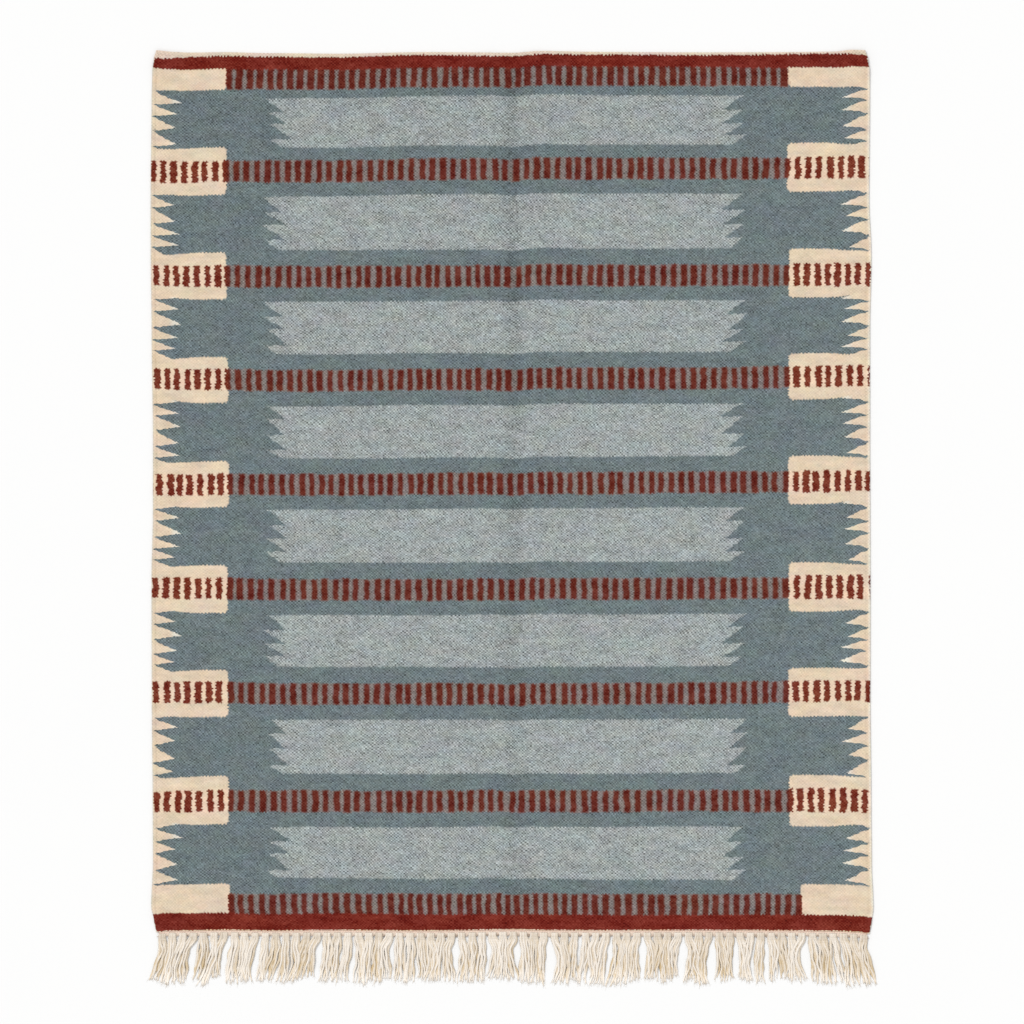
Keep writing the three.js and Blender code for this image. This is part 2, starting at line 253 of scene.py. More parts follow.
# The web strip, and the locks' roots on it
EDGE_GAP = 0.3
WEB_DEPTH = 10.5
WEB_THICKNESS = 3.8
WEB_INSET = 6
WEB_SHARES = (0, 0.03, 0.1, 0.22, 0.38, 0.55, 0.72, 0.86, 0.95, 1)
WEB_CELLS_BY_LOCK = 14
WEB_WAVE = {"deeper": 0.3, "size": 0.8, "period": 37}
WEB_SWELLING = {"thinner": 0.5, "over_lock": 0.7}
WEB_LEAN = {"below": 7, "share": 0.05}
WEB_RIM = {"top": 33, "foot": 6, "end": 2}
# Tabs at the strip's foot between the locks, which carry the painted shadow of the gaps between the
# locks' roots
GAP_SHADOW_TAB = {"reach": 4.4, "depth": 3.6}
ROOT_PITCH = 4.9
CAD_STRANDS_IN_LOCK = 3
ROOT_TO_ROOT = 23.1
ROOT_ABOVE_FOOT = 6.5

# The way the fringe leans and how much longer it is, at places across
LEAN = {
    "across": (-790, -745, -700, -560, -430, -310, -200, 90, 265, 400, 560, 632, 700, 790),
    "drift": (-29, -12, -18, -18, -24, -5, -1, 2, -12, 2, 4, 20, 13, 24),
    "longer": (0, 0, 0, -2, -2, 0, -1, 0, 2, -1, 0, 0, 3, 5),
}

# The form of locks and strings. Powers and shares are of the way down the longest string.
LOCKS_IN_GROUP = 3.1
GATHER = {"share": 0.24, "by": 0.3, "eases": 0.4, "from": 0.5, "over": 0.5}
SPREAD = {"at_root": 5.7, "from": -1, "over": 13, "splay_power": 1.7}
DRIFT_POWERS = {"lock": 1.25, "string": 1.6}
FREE_FROM = 0.25
STRAYS_ABOVE = 0.5
LENGTH_SHARES = (-0.2, 1.1)
UNDER_THICKER = 1.5
STRING_FLATNESS = {"over": 0.62, "under": 0.45}
STRING_TAPER = {"at_root": 0.9, "grows_over": 14, "from": 0.7, "over": 0.3, "lost": 0.66}
STRING_RISE = {"reach": 1.02, "power": 0.7, "by_layer": 0.6}
OVER_WEB = {"share": 0.62, "reach": 9}
FIBRE_STEPS = 4
FIBRE_SIDES = 3
FIBRES = {"leave": -4, "thick": 0.25, "thinner": 0.19, "string": 1.6, "lowest": 0.3, "step": 5}
LOWEST_POINT = 0.02

# What varies from lock to lock, string to string and fibre to fibre: its middle value, how far
# chance takes it either way, and the seed of its chance
VARIES = {
    "lock_root": (0, 0.7, 11),
    "lock_group": (0, 0.18, 29),
    "lock_gather": (0, 1.5, 61),
    "lock_drift": (0, 2.5, 101),
    "group_drift": (0, 5, 151),
    "lock_splay": (4.1, 2.4, 307),
    "lock_widening": (1.7, 1.8, 353),
    "lock_length": (0.5, 0.34, 211),
    "lock_sway": (0, 5.4, 71),
    "lock_sway_waves": (5, 2, 83),
    "lock_sway_phase": (0, pi, 5),
    "lock_tone": (0, 0.34, 41),
    "string_side": (0, 0.07, 433),
    "string_length": (0, 0.22, 401),
    "string_sway": (0, 2.3, 601),
    "string_sway_waves": (9, 3, 631),
    "string_sway_phase": (0, pi, 5),
    "crimp": (0.9, 0.6, 677),
    "crimp_waves": (19, 4, 701),
    "crimp_phase": (0, pi, 8),
    "string_drift": (0, 3.1, 503),
    "strays": (0, 1, 811),
    "stray_drift": (0, 13, 877),
    "string_thickness": (0, 0.14, 907),
    "string_layer": (0, 0.3, 947),
    "string_tone": (0.5, 0.22, 17),
    "fibre_length": (1.26, 0.24, 61),
    "fibre_drift": (0, 5, 97),
    "fibre_height": (0, 0.2, 0),
}

# The cotton of the strings and the web strip. A pair runs from least to most.
# Painted shade: how tan each side of a string turns, from its top to its underside, the strings
# that lie below most
STRING_UNDERSIDE_SHADE = {"over": (0.42, 0), "under": (0.95, 0.75), "fibre": 0.1}
STRING_PLY = {"pitch": 6, "depth": 0.5}
# Painted light at the strings' tips: lighter and less tan towards the end
PAINTED_TIP_LIGHT = {"from": 70, "by_mm": 0.032, "less_tan": 0.5}
WARM = {"by_mm": 0.014, "shares": (0.5, 1)}
ROOT_SHADE = {"reach": 16, "by_tone": (0.02, 0.32)}
WEB_PLY = {"across": 5.8, "down": 9, "depth": 0.6}
BLED = {"depth": 2.2, "speck": 3, "soft": 2.5, "strength": 0.9}
# Painted shadow in the gaps between the locks' roots, at the strip's foot
GAP_SHADOW = {"half": 3.4, "speck": 2, "depth": 7.6, "soft": 1.8, "strength": (0.1, 1)}

# The studio: how much its light adds, and the middle of what is seen, from the cloth's middle
STUDIO_LIGHT = 1.33
SEEN_MIDDLE = (2.4, -45.5, 0)


def eased(table, key, value, places):
    """Eases from row to row of a table: a smooth step between the two rows that hold a place."""
    stations = np.array(table[key], float)
    values = np.array(table[value], float)
    before = np.clip(np.searchsorted(stations, places, side="right") - 1, 0, len(stations) - 2)
    share = (places - stations[before]) / (stations[before + 1] - stations[before])
    return values[before] + (values[before + 1] - values[before]) * smooth(share)


def smooth(share):
    """A smooth step: three times the square less twice the cube, held between 0 and 1."""
    share = np.clip(share, 0, 1)
    return share * share * (3 - 2 * share)


def rounded(share):
    """A quarter circle: 0 at 0, steep at first, and 1 from 1 on."""
    return np.sqrt(1 - (1 - np.minimum(share, 1)) ** 2)


def chance(seed):
    """A number between -1 and 1 that looks random: the fraction of a large multiple of a sine."""
    turned = np.sin(np.asarray(seed) * 12.9898) * 43758.5453
    return 2 * (turned - np.floor(turned)) - 1


def varied(name, number):
    """Something that varies, for each lock, string or fibre of an array of their numbers."""
    middle, reach, seed = VARIES[name]
    return middle + reach * chance(number + seed)


def hump(distance, reach):
    """A smooth hump: the squared cosine of the distance, 1 in the middle and 0 from its reach."""
    return np.cos(np.minimum(np.abs(distance) / reach, 1) * pi / 2) ** 2


def swing(share, swell):
    """A slow swing between 0 and 1 along a fold: a raised sine of so many waves."""
    return 0.5 + 0.5 * np.sin(share * swell["waves"] * 2 * pi + swell["phase"])


def between(ends, share):
    """A straight run from the first of two values to the second."""
    return ends[0] + (ends[1] - ends[0]) * share


def past(places, start):
    """A smooth step over a stretch that starts at a place."""
    return smooth((places - start["from"]) / start["over"])


class Cloth:
    """The woven rectangle in millimetres, and where each of its places lies on the floor."""

    def __init__(self, settings):
        self.width = settings.width / MM
        self.length = settings.length / MM
        self.thickness = settings.thickness / MM
        self.web_reach = self.width / 2 - WEB_INSET
        self.root_reach = self.web_reach - ROOT_PITCH * CAD_STRANDS_IN_LOCK / 2

    def place(self, across, down):
        """Each place moves out by its selvedges' and its ends' wander, in proportion to its
        share of the way across and down."""
        from_left = across - eased(SELVEDGES, "down", "left", down)
        from_right = across + eased(SELVEDGES, "down", "right", down)
        from_hem = self.length / 2 - down + eased(ENDS, "across", "hem", across)
        from_foot = self.length / 2 - down - eased(ENDS, "across", "foot", across)
        right = between((from_left, from_right), across / self.width + 0.5)
        return right, between((from_hem, from_foot), down / self.length)

    def lift(self, across, down):
        """The sum of the swells and curls, each a hump times its swing, faded out at the foot."""
        height = np.zeros_like(across)
        for swell in LENGTHWISE_SWELLS:
            crest = hump(across - swell["across"], swell["reach"])
            height += swell["rise"] * crest * swing(down / self.length, swell)
        inward = 1 - np.abs(across / (self.width / 2)) ** SIDE_FADE_POWER
        for swell in CROSSWISE_SWELLS:
            crest = hump(down - swell["down"], swell["reach"])
            height += swell["rise"] * crest * swing(across / self.width, swell) * inward
        for curl in CORNER_CURLS:
            away = np.hypot(across - curl["across"], down - curl["down"])
            height += curl["rise"] * hump(away, curl["reach"])
        return height * smooth((self.length - down) / FLAT_AT_FOOT)

    def from_edge(self, across, down):
        """The distance in from the nearest selvedge or from the hem."""
        return np.minimum(self.width / 2 - np.abs(across), down)

    def thickness_at(self, across, down):
        """Plain cloth, a hump for the rolled edge, and a narrow dip for the stitched line."""
        inward = self.from_edge(across, down)
        roll = EDGE_ROLL * hump(inward - STITCH["line"] / 2, STITCH["line"] / 2)
        dip = STITCH["dip"] * hump(inward - STITCH["dip_line"], STITCH["reach"])
        at_foot = smooth(1 - (self.length - down) / THINNED_AT_FOOT)
        return between((self.thickness + roll - dip, WEB_THICKNESS), at_foot)

    def rim(self, across, down):
        """A half circle over the cloth's thickness: 0 at the very edge and 1 further in."""
        at_side = rounded(self.from_edge(across, down) / (self.thickness / 2))
        return at_side * rounded((self.length - down) / ROUND_AT_FOOT)

    def web_place(self, across, depth):
        """A place below the cloth's foot, past the small gap that parts the web strip from it."""
        right, up = self.place(across, np.full_like(across, self.length))
        return right, up - EDGE_GAP - depth

    def shift(self):
        """The way from the woven rectangle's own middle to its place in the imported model."""
        down = np.array(SELVEDGES["down"], float)
        across = np.array(ENDS["across"], float)
        right = self.place(np.full_like(down, self.width / 2), down)[0].max()
        left = self.place(np.full_like(down, -self.width / 2), down)[0].min()
        hem = self.place(across, np.zeros_like(across))[1].max()
        foot = self.place(across, np.full_like(across, self.length))[1].min()
        low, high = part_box("kilim_cloth")
        middle = (low + high) / 2 / MM
        return np.array([middle.x - (left + right) / 2, middle.y - (hem + foot) / 2, 0])

    def sheet(self, right, up, under, half, rim):
        """Points and faces of a closed sheet over a grid of places, whose face and back part from
        its middle by half its thickness times its rim."""
        face = np.stack([right, up, under + half * (1 + rim)], axis=-1) + self.shift()
        back = np.stack([right, up, under + half * (1 - rim)], axis=-1) + self.shift()
        rows, columns = right.shape
        number = np.arange(rows * columns).reshape(rows, columns)
        below = number.copy()
        inner = np.arange((rows - 2) * (columns - 2)).reshape(rows - 2, -1)
        below[1:-1, 1:-1] = number.size + inner
        points = np.concatenate([face.reshape(-1, 3), back[1:-1, 1:-1].reshape(-1, 3)])
        return points, np.concatenate([grid_quads(number), grid_quads(below)[:, ::-1]]).tolist()


def graded_lines(length, cell, lines_at_end=len(RIM_LINES)):
    """Grid lines along a length: the rim's own lines at its ends, and even cells between."""
    first = np.array(RIM_LINES, float)
    last = first[:lines_at_end]
    count = int(np.ceil((length - first[-1] - last[-1]) / cell))
    middle = np.linspace(first[-1], length - last[-1], count + 1)
    return np.concatenate([first[:-1], middle, (length - last[:-1])[::-1]])


def grid_quads(number):
    """One face for each cell of a grid of point numbers, its corners turning left."""
    corners = (number[:-1, :-1], number[1:, :-1], number[1:, 1:], number[:-1, 1:])
    return np.stack(corners, axis=-1).reshape(-1, 4)


def new_object(name, points, faces):
    """A smooth mesh object at the origin, from points in millimetres and faces."""
    mesh = bpy.data.meshes.new(name)
    mesh.from_pydata((points * MM).tolist(), [], faces)
    mesh.polygons.foreach_set("use_smooth", np.ones(len(mesh.polygons), bool))
    mesh.update()
    piece = bpy.data.objects.new(name, mesh)
    bpy.context.scene.collection.objects.link(piece)
    return piece


def give_values(piece, name, values):
    """Puts one number for each point of a piece into a named attribute."""
    layer = piece.data.attributes.new(name, "FLOAT", "POINT")
    layer.data.foreach_set("value", np.asarray(values, np.float32).ravel())


def on_both_sides(values):
    """The values of a grid for the points of a closed sheet: its face, then its inner back."""
    return np.concatenate([values.ravel(), values[1:-1, 1:-1].ravel()])


def give_sheet_map(piece, name, across, up, face_width=0.8, margin=0.004):
    """A UV map with the face at the left and the back, squeezed narrow, at the right."""
    number = np.arange(across.size).reshape(across.shape)
    up = margin + (1 - 2 * margin) * up.ravel()
    face_right = margin + (face_width - 2 * margin) * across.ravel()
    back_right = face_width + margin + (1 - face_width - 2 * margin) * across.ravel()
    on_face = np.stack([face_right, up], axis=-1)[grid_quads(number)]
    on_back = np.stack([back_right, up], axis=-1)[grid_quads(number)[:, ::-1]]
    layer = piece.data.uv_layers.new(name=name)
    layer.uv.foreach_set("vector", np.concatenate([on_face, on_back]).astype(np.float32).ravel())


class Chart:
    """The stripe chart: signed distances in millimetres from each place to its woven lines."""

    readings = (
        "in_bars", "in_blocks", "in_block_ends", "in_panels", "in_panel_ends", "panel_teeth",
        "zone_teeth", "bar_count", "bar_row", "in_end_bars", "in_red_bands", "in_hem",
    )

    def __init__(self, cloth, across, down):
        self.cloth = cloth
        self.across = across
        self.down = down
        self.right = across / cloth.width + 0.5
        self.out = np.abs(across)
        self.side = np.where(across < 0, 0, 1)
        self.rows = [self.line(stations, seed) for seed, stations in enumerate(BAR_ROWS)]
        self.above = np.stack([down - row for row in self.rows])
        self.panel = np.sum(self.above > 0, axis=0)
        below = [row + reach for row, reach in zip(self.rows, STRIPES_BELOW)]
        above = [row - reach for row, reach in zip(self.rows, STRIPES_ABOVE)]
        self.panel_top = np.choose(self.panel, [self.end_line("first_panel_top")] + below)
        self.panel_foot = np.choose(self.panel, above + [self.end_line("last_panel_foot")])

    def values(self):
        """Every attribute that the wool reads, by name."""
        return {
            **{name: getattr(self, name)() for name in self.readings},
            "in_foot": self.down - self.cloth.length + FOOT_EDGE,
            "from_side": self.cloth.width / 2 - self.out,
            "from_edge": self.cloth.from_edge(self.across, self.down),
            "across": self.across,
            "down": self.down,
        }

    def line(self, stations, seed):
        """A curve through a woven line's three places, with slow wanders, the dip of the crease
        and the sag of the hem's right corner, which the hem's own outline already has."""
        left, middle, right = stations
        sag = middle - (left + right) / 2
        curve = between((left, right), self.right) + sag * (1 - (2 * self.right - 1) ** 2)
        dip = CREASE["dip"] * hump(self.across - CREASE["across"], CREASE["reach"])
        at_corner = past(self.across, CORNER_SAG) * np.exp(-middle / CORNER_SAG["fade"])
        dip = dip + CORNER_SAG["sag"] * at_corner
        curve = curve + dip * smooth(middle / NO_DIP_AT_HEM)
        for wander in LINE_WANDERS:
            turn = self.across / wander["period"] + seed * wander["phase"]
            curve = curve + wander["size"] * np.sin(turn)
        return curve

    def end_line(self, name):
        """One of the lines near the hem or the foot."""
        return self.line(END_LINES[name], len(name))

    def by_side(self, table, number=None):
        """A table's value for the nearer side, or the one for a row of bars."""
        sides = (table["left"], table["right"])
        if number is not None:
            sides = [side[number] for side in sides]
        return np.where(self.across < 0, *sides)

    def bar_row(self):
        """The nearest row of bars: 0 for the comb at the hem, then 1 to 7, and 8 at the foot."""
        number = np.abs(self.above).argmin(axis=0) + 1
        number = np.where(self.down < self.rows[0] - COMB["at_hem"], 0, number)
        return np.where(self.down > self.rows[-1] + COMB["at_foot"], COMB["last_row"], number)

    def in_block_ends(self):
        """How far inside the blocks' inner ends a place is, towards the nearer selvedge."""
        row = self.bar_row()
        last = row == COMB["last_row"]
        start = np.where(last, self.by_side(LAST_BLOCK_STARTS), self.by_side(BLOCK_STARTS))
        return self.out - start + BLOCK_STARTS_VARY * chance(row * 3.3 + self.side)

    def in_bars(self):
        """How far inside a row of bars a place is, up or down. In some blocks they start higher."""
        regular = BAR_REACH - np.abs(self.above).min(axis=0)
        in_block = self.in_block_ends()
        for number, below in enumerate(self.above):
            taller = (in_block > 0) & (below < 0) & (below > -TALLER_BARS_REACH)
            regular = regular + taller * self.by_side(TALLER_BARS, number)
        first = self.end_line("comb_foot") - self.down
        last = self.down - self.end_line("last_comb_top")
        combs = np.minimum(np.maximum(first, last), COMB["into_block"] - in_block)
        return np.maximum(regular, combs)

    def in_blocks(self):
        """How far inside a row of end blocks a place is, up or down. The blocks taper outwards."""
        outwards = past(self.out, BLOCK_TAPER)
        first = self.end_line("comb_foot") + 1 - self.down
        inside = np.maximum(first, self.down - self.end_line("last_block_top"))
        for number, below in enumerate(self.above):
            reach = np.where(
                below > 0, self.by_side(BLOCKS_BELOW, number), self.by_side(BLOCKS_ABOVE, number)
            )
            taper = np.where(
                below > 0, self.by_side(TAPERS_BELOW, number), self.by_side(TAPERS_ABOVE, number)
            )
            inside = np.maximum(inside, reach - taper * outwards - np.abs(below))
        return inside

    def in_end_bars(self):
        """How far inside the bar beside each end block a place is, across, in the two combs."""
        row = self.bar_row()
        inside = END_BAR["half"] - np.abs(self.in_block_ends() - END_BAR["middle"])
        return np.where((row == 0) | (row == COMB["last_row"]), inside, END_BAR["elsewhere"])

    def bar_count(self):
        """Counts each row's bars across, a whole number at the middle of each."""
        row = self.bar_row()
        slips = [
            np.interp(self.across[0], BAR_SLIPS["across"], of_row) for of_row in BAR_SLIPS["slip"]
        ]
        slip = np.take_along_axis(np.array(slips), row, axis=0)
        return (self.across - np.array(BARS_FIRST)[row] - slip) / np.array(BARS_PITCH)[row]

    def in_panels(self):
        """How far inside a light panel a place is, up or down."""
        return np.minimum(self.down - self.panel_top, self.panel_foot - self.down)

    def in_panel_ends(self):
        """How far inside the line of the light teeth's tips a place is, towards the middle. The
        line slants one way or the other."""
        slant = PANEL_ENDS_VARY["slant"] * chance(self.panel * 5.1 + self.side)
        slant = slant * (self.panel_teeth() % TEETH_NUMBERED["by_panel"] - 2) / 2
        place = PANEL_ENDS_VARY["place"] * chance(self.panel * 7.7 + self.side * 2.2)
        return self.by_side(PANEL_ENDS) - self.out + place + slant

    def counted(self, top, foot, teeth):
        """Counts the teeth from a line down to another, and how early or late each is. Each panel
        or zone, and each side, starts from a number of its own."""
        raw = (self.down - top) / (foot - top) * teeth["count"]
        seed = self.panel * teeth["panel_seed"] + self.side * teeth["side_seed"]
        late = teeth["late"] * np.sin(raw * teeth["waves"] + 9 * chance(seed))
        apart = TEETH_NUMBERED["by_panel"] * self.panel + TEETH_NUMBERED["by_side"] * self.side
        return raw + apart + teeth["first"], late

    def panel_teeth(self):
        """Counts the light teeth down each panel's ends. The first starts on time."""
        count, late = self.counted(self.panel_top, self.panel_foot, PANEL_TEETH)
        started = (self.down - self.panel_top) / (self.panel_foot - self.panel_top)
        return count + late * smooth(2 * PANEL_TEETH["count"] * started)

    def zone_teeth(self):
        """Counts the undyed teeth of the side zones between the end blocks."""
        tops = [self.end_line("comb_foot")] + [row + MEAN_BLOCK_REACH for row in self.rows]
        feet = [row - MEAN_BLOCK_REACH for row in self.rows] + [self.end_line("last_block_top")]
        top = np.choose(self.panel, tops)
        return sum(self.counted(top, np.choose(self.panel, feet), SIDE_TEETH))

    def in_red_bands(self):
        """How far inside the red band under the hem, or the one at the foot, a place is. The
        first runs on under the hem, and is a little deeper over the comb."""
        deeper = np.where(self.in_block_ends() < 0, COMB["band_step"], 0)
        first = self.end_line("band_foot") + deeper - self.down
        return np.maximum(first, self.down - self.end_line("last_band_top"))

    def in_hem(self):
        """How far inside the plain hem a place is. It widens at the corners."""
        wider = HEM_CORNERS["wider"] * past(self.out, HEM_CORNERS)
        return self.end_line("hem_foot") + wider - self.down


class Reading:
    """A number that a material reads at each point. Arithmetic on it adds Math nodes."""

    def __init__(self, finish, socket):
        self.finish = finish
        self.socket = socket

    def then(self, operation, *values, clamp=False):
        """This number put through one Math node, together with other numbers."""
        node = self.finish.node("Math", self, *values, operation=operation, use_clamp=clamp)
        return Reading(self.finish, node.outputs[0])

    __add__ = __radd__ = partialmethod(then, "ADD")
    __sub__ = partialmethod(then, "SUBTRACT")
    __rsub__ = partialmethod(then, "MULTIPLY_ADD", -1.0)
    __mul__ = __rmul__ = partialmethod(then, "MULTIPLY")
    __truediv__ = partialmethod(then, "DIVIDE")
    floor = partialmethod(then, "FLOOR")
    fraction = partialmethod(then, "FRACT")
    size = partialmethod(then, "ABSOLUTE")
    sine = partialmethod(then, "SINE")
    exponent = partialmethod(then, "EXPONENT")
    least = partialmethod(then, "MINIMUM")
    most = partialmethod(then, "MAXIMUM")
    centred = partialmethod(then, "MULTIPLY_ADD", 2.0, -1.0)

    def inside(self, softness):
        """1 where the number is above 0 and 0 where it is below, with a soft step between."""
        return self.then("MULTIPLY_ADD", 1 / softness, 0.5, clamp=True)

    def held(self, high=1.0):
        """The number held between 0 and a limit."""
        return self.most(0.0).least(high)


def opaque(colour):
    """A plain colour of three parts with full opacity, or a node's colour as it is."""
    return colour if isinstance(colour, bpy.types.NodeSocket) else (*colour, 1.0)


class Finish:
    """A new node material, with the kinds of node that the rug's materials are made of."""

    def __init__(self, name, roughness, specular, sheen):
        self.material = bpy.data.materials.new(name)
        self.material.use_nodes = True
        self.tree = self.material.node_tree
        self.shader = self.tree.nodes["Principled BSDF"]
        looks = {"Roughness": roughness, "Specular IOR Level": specular, "Sheen Weight": sheen}
        for look, value in {**looks, "Sheen Roughness": SHEEN_ROUGHNESS}.items():
            self.feed(self.shader.inputs[look], value)

    def feed(self, socket, value):
        """Links a reading or a node's output to a socket, or sets the socket to a plain value."""
        if isinstance(value, Reading):
            value = value.socket
        if isinstance(value, bpy.types.NodeSocket):
            self.tree.links.new(value, socket)
        else:
            socket.default_value = value

    def node(self, kind, *values, inputs=None, **settings):
        """A new shader node with its settings, its first inputs in order and others by name."""
        node = self.tree.nodes.new("ShaderNode" + kind)
        for name, value in settings.items():
            setattr(node, name, value)
        for place, value in {**dict(enumerate(values)), **(inputs or {})}.items():
            self.feed(node.inputs[place], value)
        return node

    def value(self, name):
        """Reads a named attribute."""
        return Reading(self, self.node("Attribute", attribute_name=name).outputs["Fac"])

    def vector(self, *places):
        """Joins up to three numbers into a place."""
        return self.node("CombineXYZ", *places).outputs[0]

    def parts(self, colour):
        """A colour's three parts."""
        return [Reading(self, part) for part in self.node("SeparateColor", colour).outputs]

    def chances(self, *places):
        """Three numbers between 0 and 1, unlike for each place."""
        noise = self.node("TexWhiteNoise", self.vector(*places), noise_dimensions="3D")
        return self.parts(noise.outputs["Color"])

    def noise(self, *places, detail=1.0, roughness=0.5):
        """A soft noise between -1 and 1 over a place."""
        fineness = {"Scale": 1.0, "Detail": detail, "Roughness": roughness}
        node = self.node("TexNoise", self.vector(*places), inputs=fineness, noise_dimensions="3D")
        return Reading(self, node.outputs["Fac"]).centred()

    def blend(self, share, below, above):
        """Lays one colour over another by a share between 0 and 1."""
        colours = {6: opaque(below), 7: opaque(above)}
        return self.node("Mix", share, inputs=colours, data_type="RGBA").outputs[2]

    def combined(self, operation, *values, **inputs):
        """Colours or places put through one Vector Math node."""
        return self.node("VectorMath", *values, inputs=inputs, operation=operation).outputs[0]

    def raised(self, height, distance):
        """Bumps the surface by a height between 0 and 1 of a distance in metres."""
        sizes = {"Strength": BUMP_STRENGTH, "Distance": distance, "Height": height}
        self.feed(self.shader.inputs["Normal"], self.node("Bump", inputs=sizes).outputs[0])

    def painted(self, colour):
        self.feed(self.shader.inputs["Base Color"], colour)
        return self.material

    def shaded(self, colour, shade):
        """The material in a colour that is made lighter or darker by a factor."""
        return self.painted(self.combined("SCALE", colour, Scale=shade))


class Weave:
    """The crossing of the cloth's warps and picks, and how it frays the yarn areas' edges."""

    def __init__(self, wool, settings):
        self.wool = wool
        self.value = wool.value
        self.across = wool.value("across")
        self.down = wool.value("down")
        wander = wool.noise(self.across / 62, self.down / 40, 5, detail=2)
        warp = self.across * (MM / settings.warp_pitch) + wander * WANDER["warps"] + FIRST_WARP
        pick = self.down * (MM / settings.weft_pitch) + wander * WANDER["picks"]
        over_warp = (warp * pi).sine()
        over_pick = (pick * pi).sine()
        slant = ((warp - pick + 0.5) * pi).sine()
        self.crossing = over_warp * over_pick + slant * SLANT
        self.pick = pick.floor()
        self.cell = wool.chances(warp.floor(), self.pick)
        self.by_warp = wool.chances(warp.floor(), 11)
        self.fray_across = over_pick * FRAY_ACROSS["crossing"]
        self.fray_across += wool.chances(self.pick, 7)[0].centred() * FRAY_ACROSS["chance"]
        self.fray_down = over_warp * FRAY_DOWN["crossing"]
        self.fray_down += self.by_warp[0].centred() * FRAY_DOWN["chance"]

    def depth(self, name, fray=1):
        """How far inside an area a place is, up or down, with the area's frayed edge."""
        return self.value(name) + self.fray_down * fray

    def blocks(self):
        """How much of a place is end block: inside its row, and past its round-cornered end."""
        end = self.value("in_block_ends") + self.fray_across
        return self.depth("in_blocks").then("SMOOTH_MIN", end, ROUNDED["block"]).inside(3)

    def panels(self):
        """How much of a place is light panel: inside its stripe, and inside the slanting teeth
        that its end is cut into."""
        teeth = self.value("panel_teeth") + self.by_warp[1].centred() * PANEL_TEETH["stray"]
        tooth = self.wool.chances(teeth.floor(), 3)
        cut = teeth.fraction() * between(PANEL_TEETH["reach"], tooth[0])
        edge = self.value("in_panel_ends") - cut + tooth[1].centred() * PANEL_TEETH["place"]
        edge += self.fray_across * PANEL_TEETH["fray"]
        return self.depth("in_panels", fray=1.6).inside(3.2) * edge.inside(PANEL_TEETH["soft"])

    def side_teeth(self):
        """How much of a place is undyed wool beside the selvedge: each tooth slants out to its
        tip and turns back."""
        teeth = self.value("zone_teeth") + self.by_warp[2].centred() * SIDE_TEETH["stray"]
        tooth = self.wool.chances(teeth.floor(), 5)
        turn = SIDE_TEETH["turn"]
        part = teeth.fraction()
        rise = ((part / turn).least((1.0 - part) / (1 - turn)) - SIDE_TEETH["blunt"]).most(0)
        reach = rise * between(SIDE_TEETH["reach"], tooth[0]) + between(SIDE_TEETH["tip"], tooth[2])
        edge = reach - self.value("from_side") + tooth[1].centred() * SIDE_TEETH["place"]
        return (edge + self.fray_across).inside(SIDE_TEETH["soft"])

    def bars(self, in_block, width):
        """How far inside a row of bars a place is, up or down, and how far inside one of its bars.
        The bars are more ragged on the end blocks."""
        count = self.value("bar_count")
        number = (count + 0.5).floor()
        row = (self.value("bar_row") + 0.5).floor()
        bar = self.wool.chances(number, row)
        spurs = self.wool.chances(number, row, self.pick + 1)
        bend = self.wool.noise(number * BAR_BEND["apart"], self.down / BAR_BEND["length"], row)
        off = (count - number) * MEAN_BAR_PITCH + bar[0].centred() * BARS_VARY["across"]
        off += bend * BAR_BEND["by"]
        spur = between(spurs, off.inside(0.5)).centred() * BARS_VARY["spur"]
        spur *= between(SPURS_SHOW, in_block)
        half = spur + bar[1].centred() * BARS_VARY["half"] + width / MM / 2
        half += in_block * BARS_WIDER["on_blocks"]
        half += (1.0 - row).most(0) * BARS_WIDER["in_first_comb"]
        end_bar = self.value("in_end_bars") + spur
        across = (half - off.size()).then("SMOOTH_MAX", end_bar, ROUNDED["end_bar"])
        along = self.depth("in_bars") + bar[2].centred() * BARS_VARY["length"]
        return along, along.then("SMOOTH_MIN", across, ROUNDED["bar"])

    def reds(self, bar, in_block):
        """How much of a place is red: inside a bar or a band, and inside the selvedge. The bars
        are sharper on the end blocks."""
        red = bar.then("SMOOTH_MAX", self.depth("in_red_bands", fray=1.2), ROUNDED["band"])
        from_side = self.value("from_side") - REDS_IN_SIDE["from_side"]
        red = red.least(from_side + self.fray_across * REDS_IN_SIDE["fray"])
        return (red * between(BAR_SHARPNESS, in_block)).then("ADD", 0.5, clamp=True)


def edge_line(distance, line):
    """How much of a place is in a line along an edge: inside its width, by its strength."""
    width, soft, strength = line
    return (width - distance).inside(soft) * strength


def yarn_areas(weave, settings):
    """How much of a place each yarn area has, by name."""
    in_block = weave.blocks()
    along_bar, bar = weave.bars(in_block, settings.bar_width)
    reds = weave.reds(bar, in_block)
    on_right = weave.across.inside(RIGHT_HALF_SOFT)
    # Painted shade along the rolled rim, fainter at the right, and painted light on the right rim
    greyed = edge_line(weave.value("from_edge"), RIM_SHADE_LINE)
    greyed *= 1.0 - on_right * RIM_SHADE_LESS_AT_RIGHT
    lit = edge_line(weave.value("from_side"), LIT_RIM) * on_right
    return {
        "panels": weave.panels(),
        "side_teeth": weave.side_teeth(),
        "bars": along_bar.inside(2.8),
        "blocks": in_block,
        "reds": reds,
        "bands": weave.depth("in_red_bands", fray=1.2).inside(3),
        "hem": weave.depth("in_hem", fray=1.7).inside(2.4),
        "foot": weave.depth("in_foot", fray=0.9).inside(1.2),
        "rim_shade": greyed * (1.0 - reds),
        "lit_rim": lit * (1.0 - reds),
    }


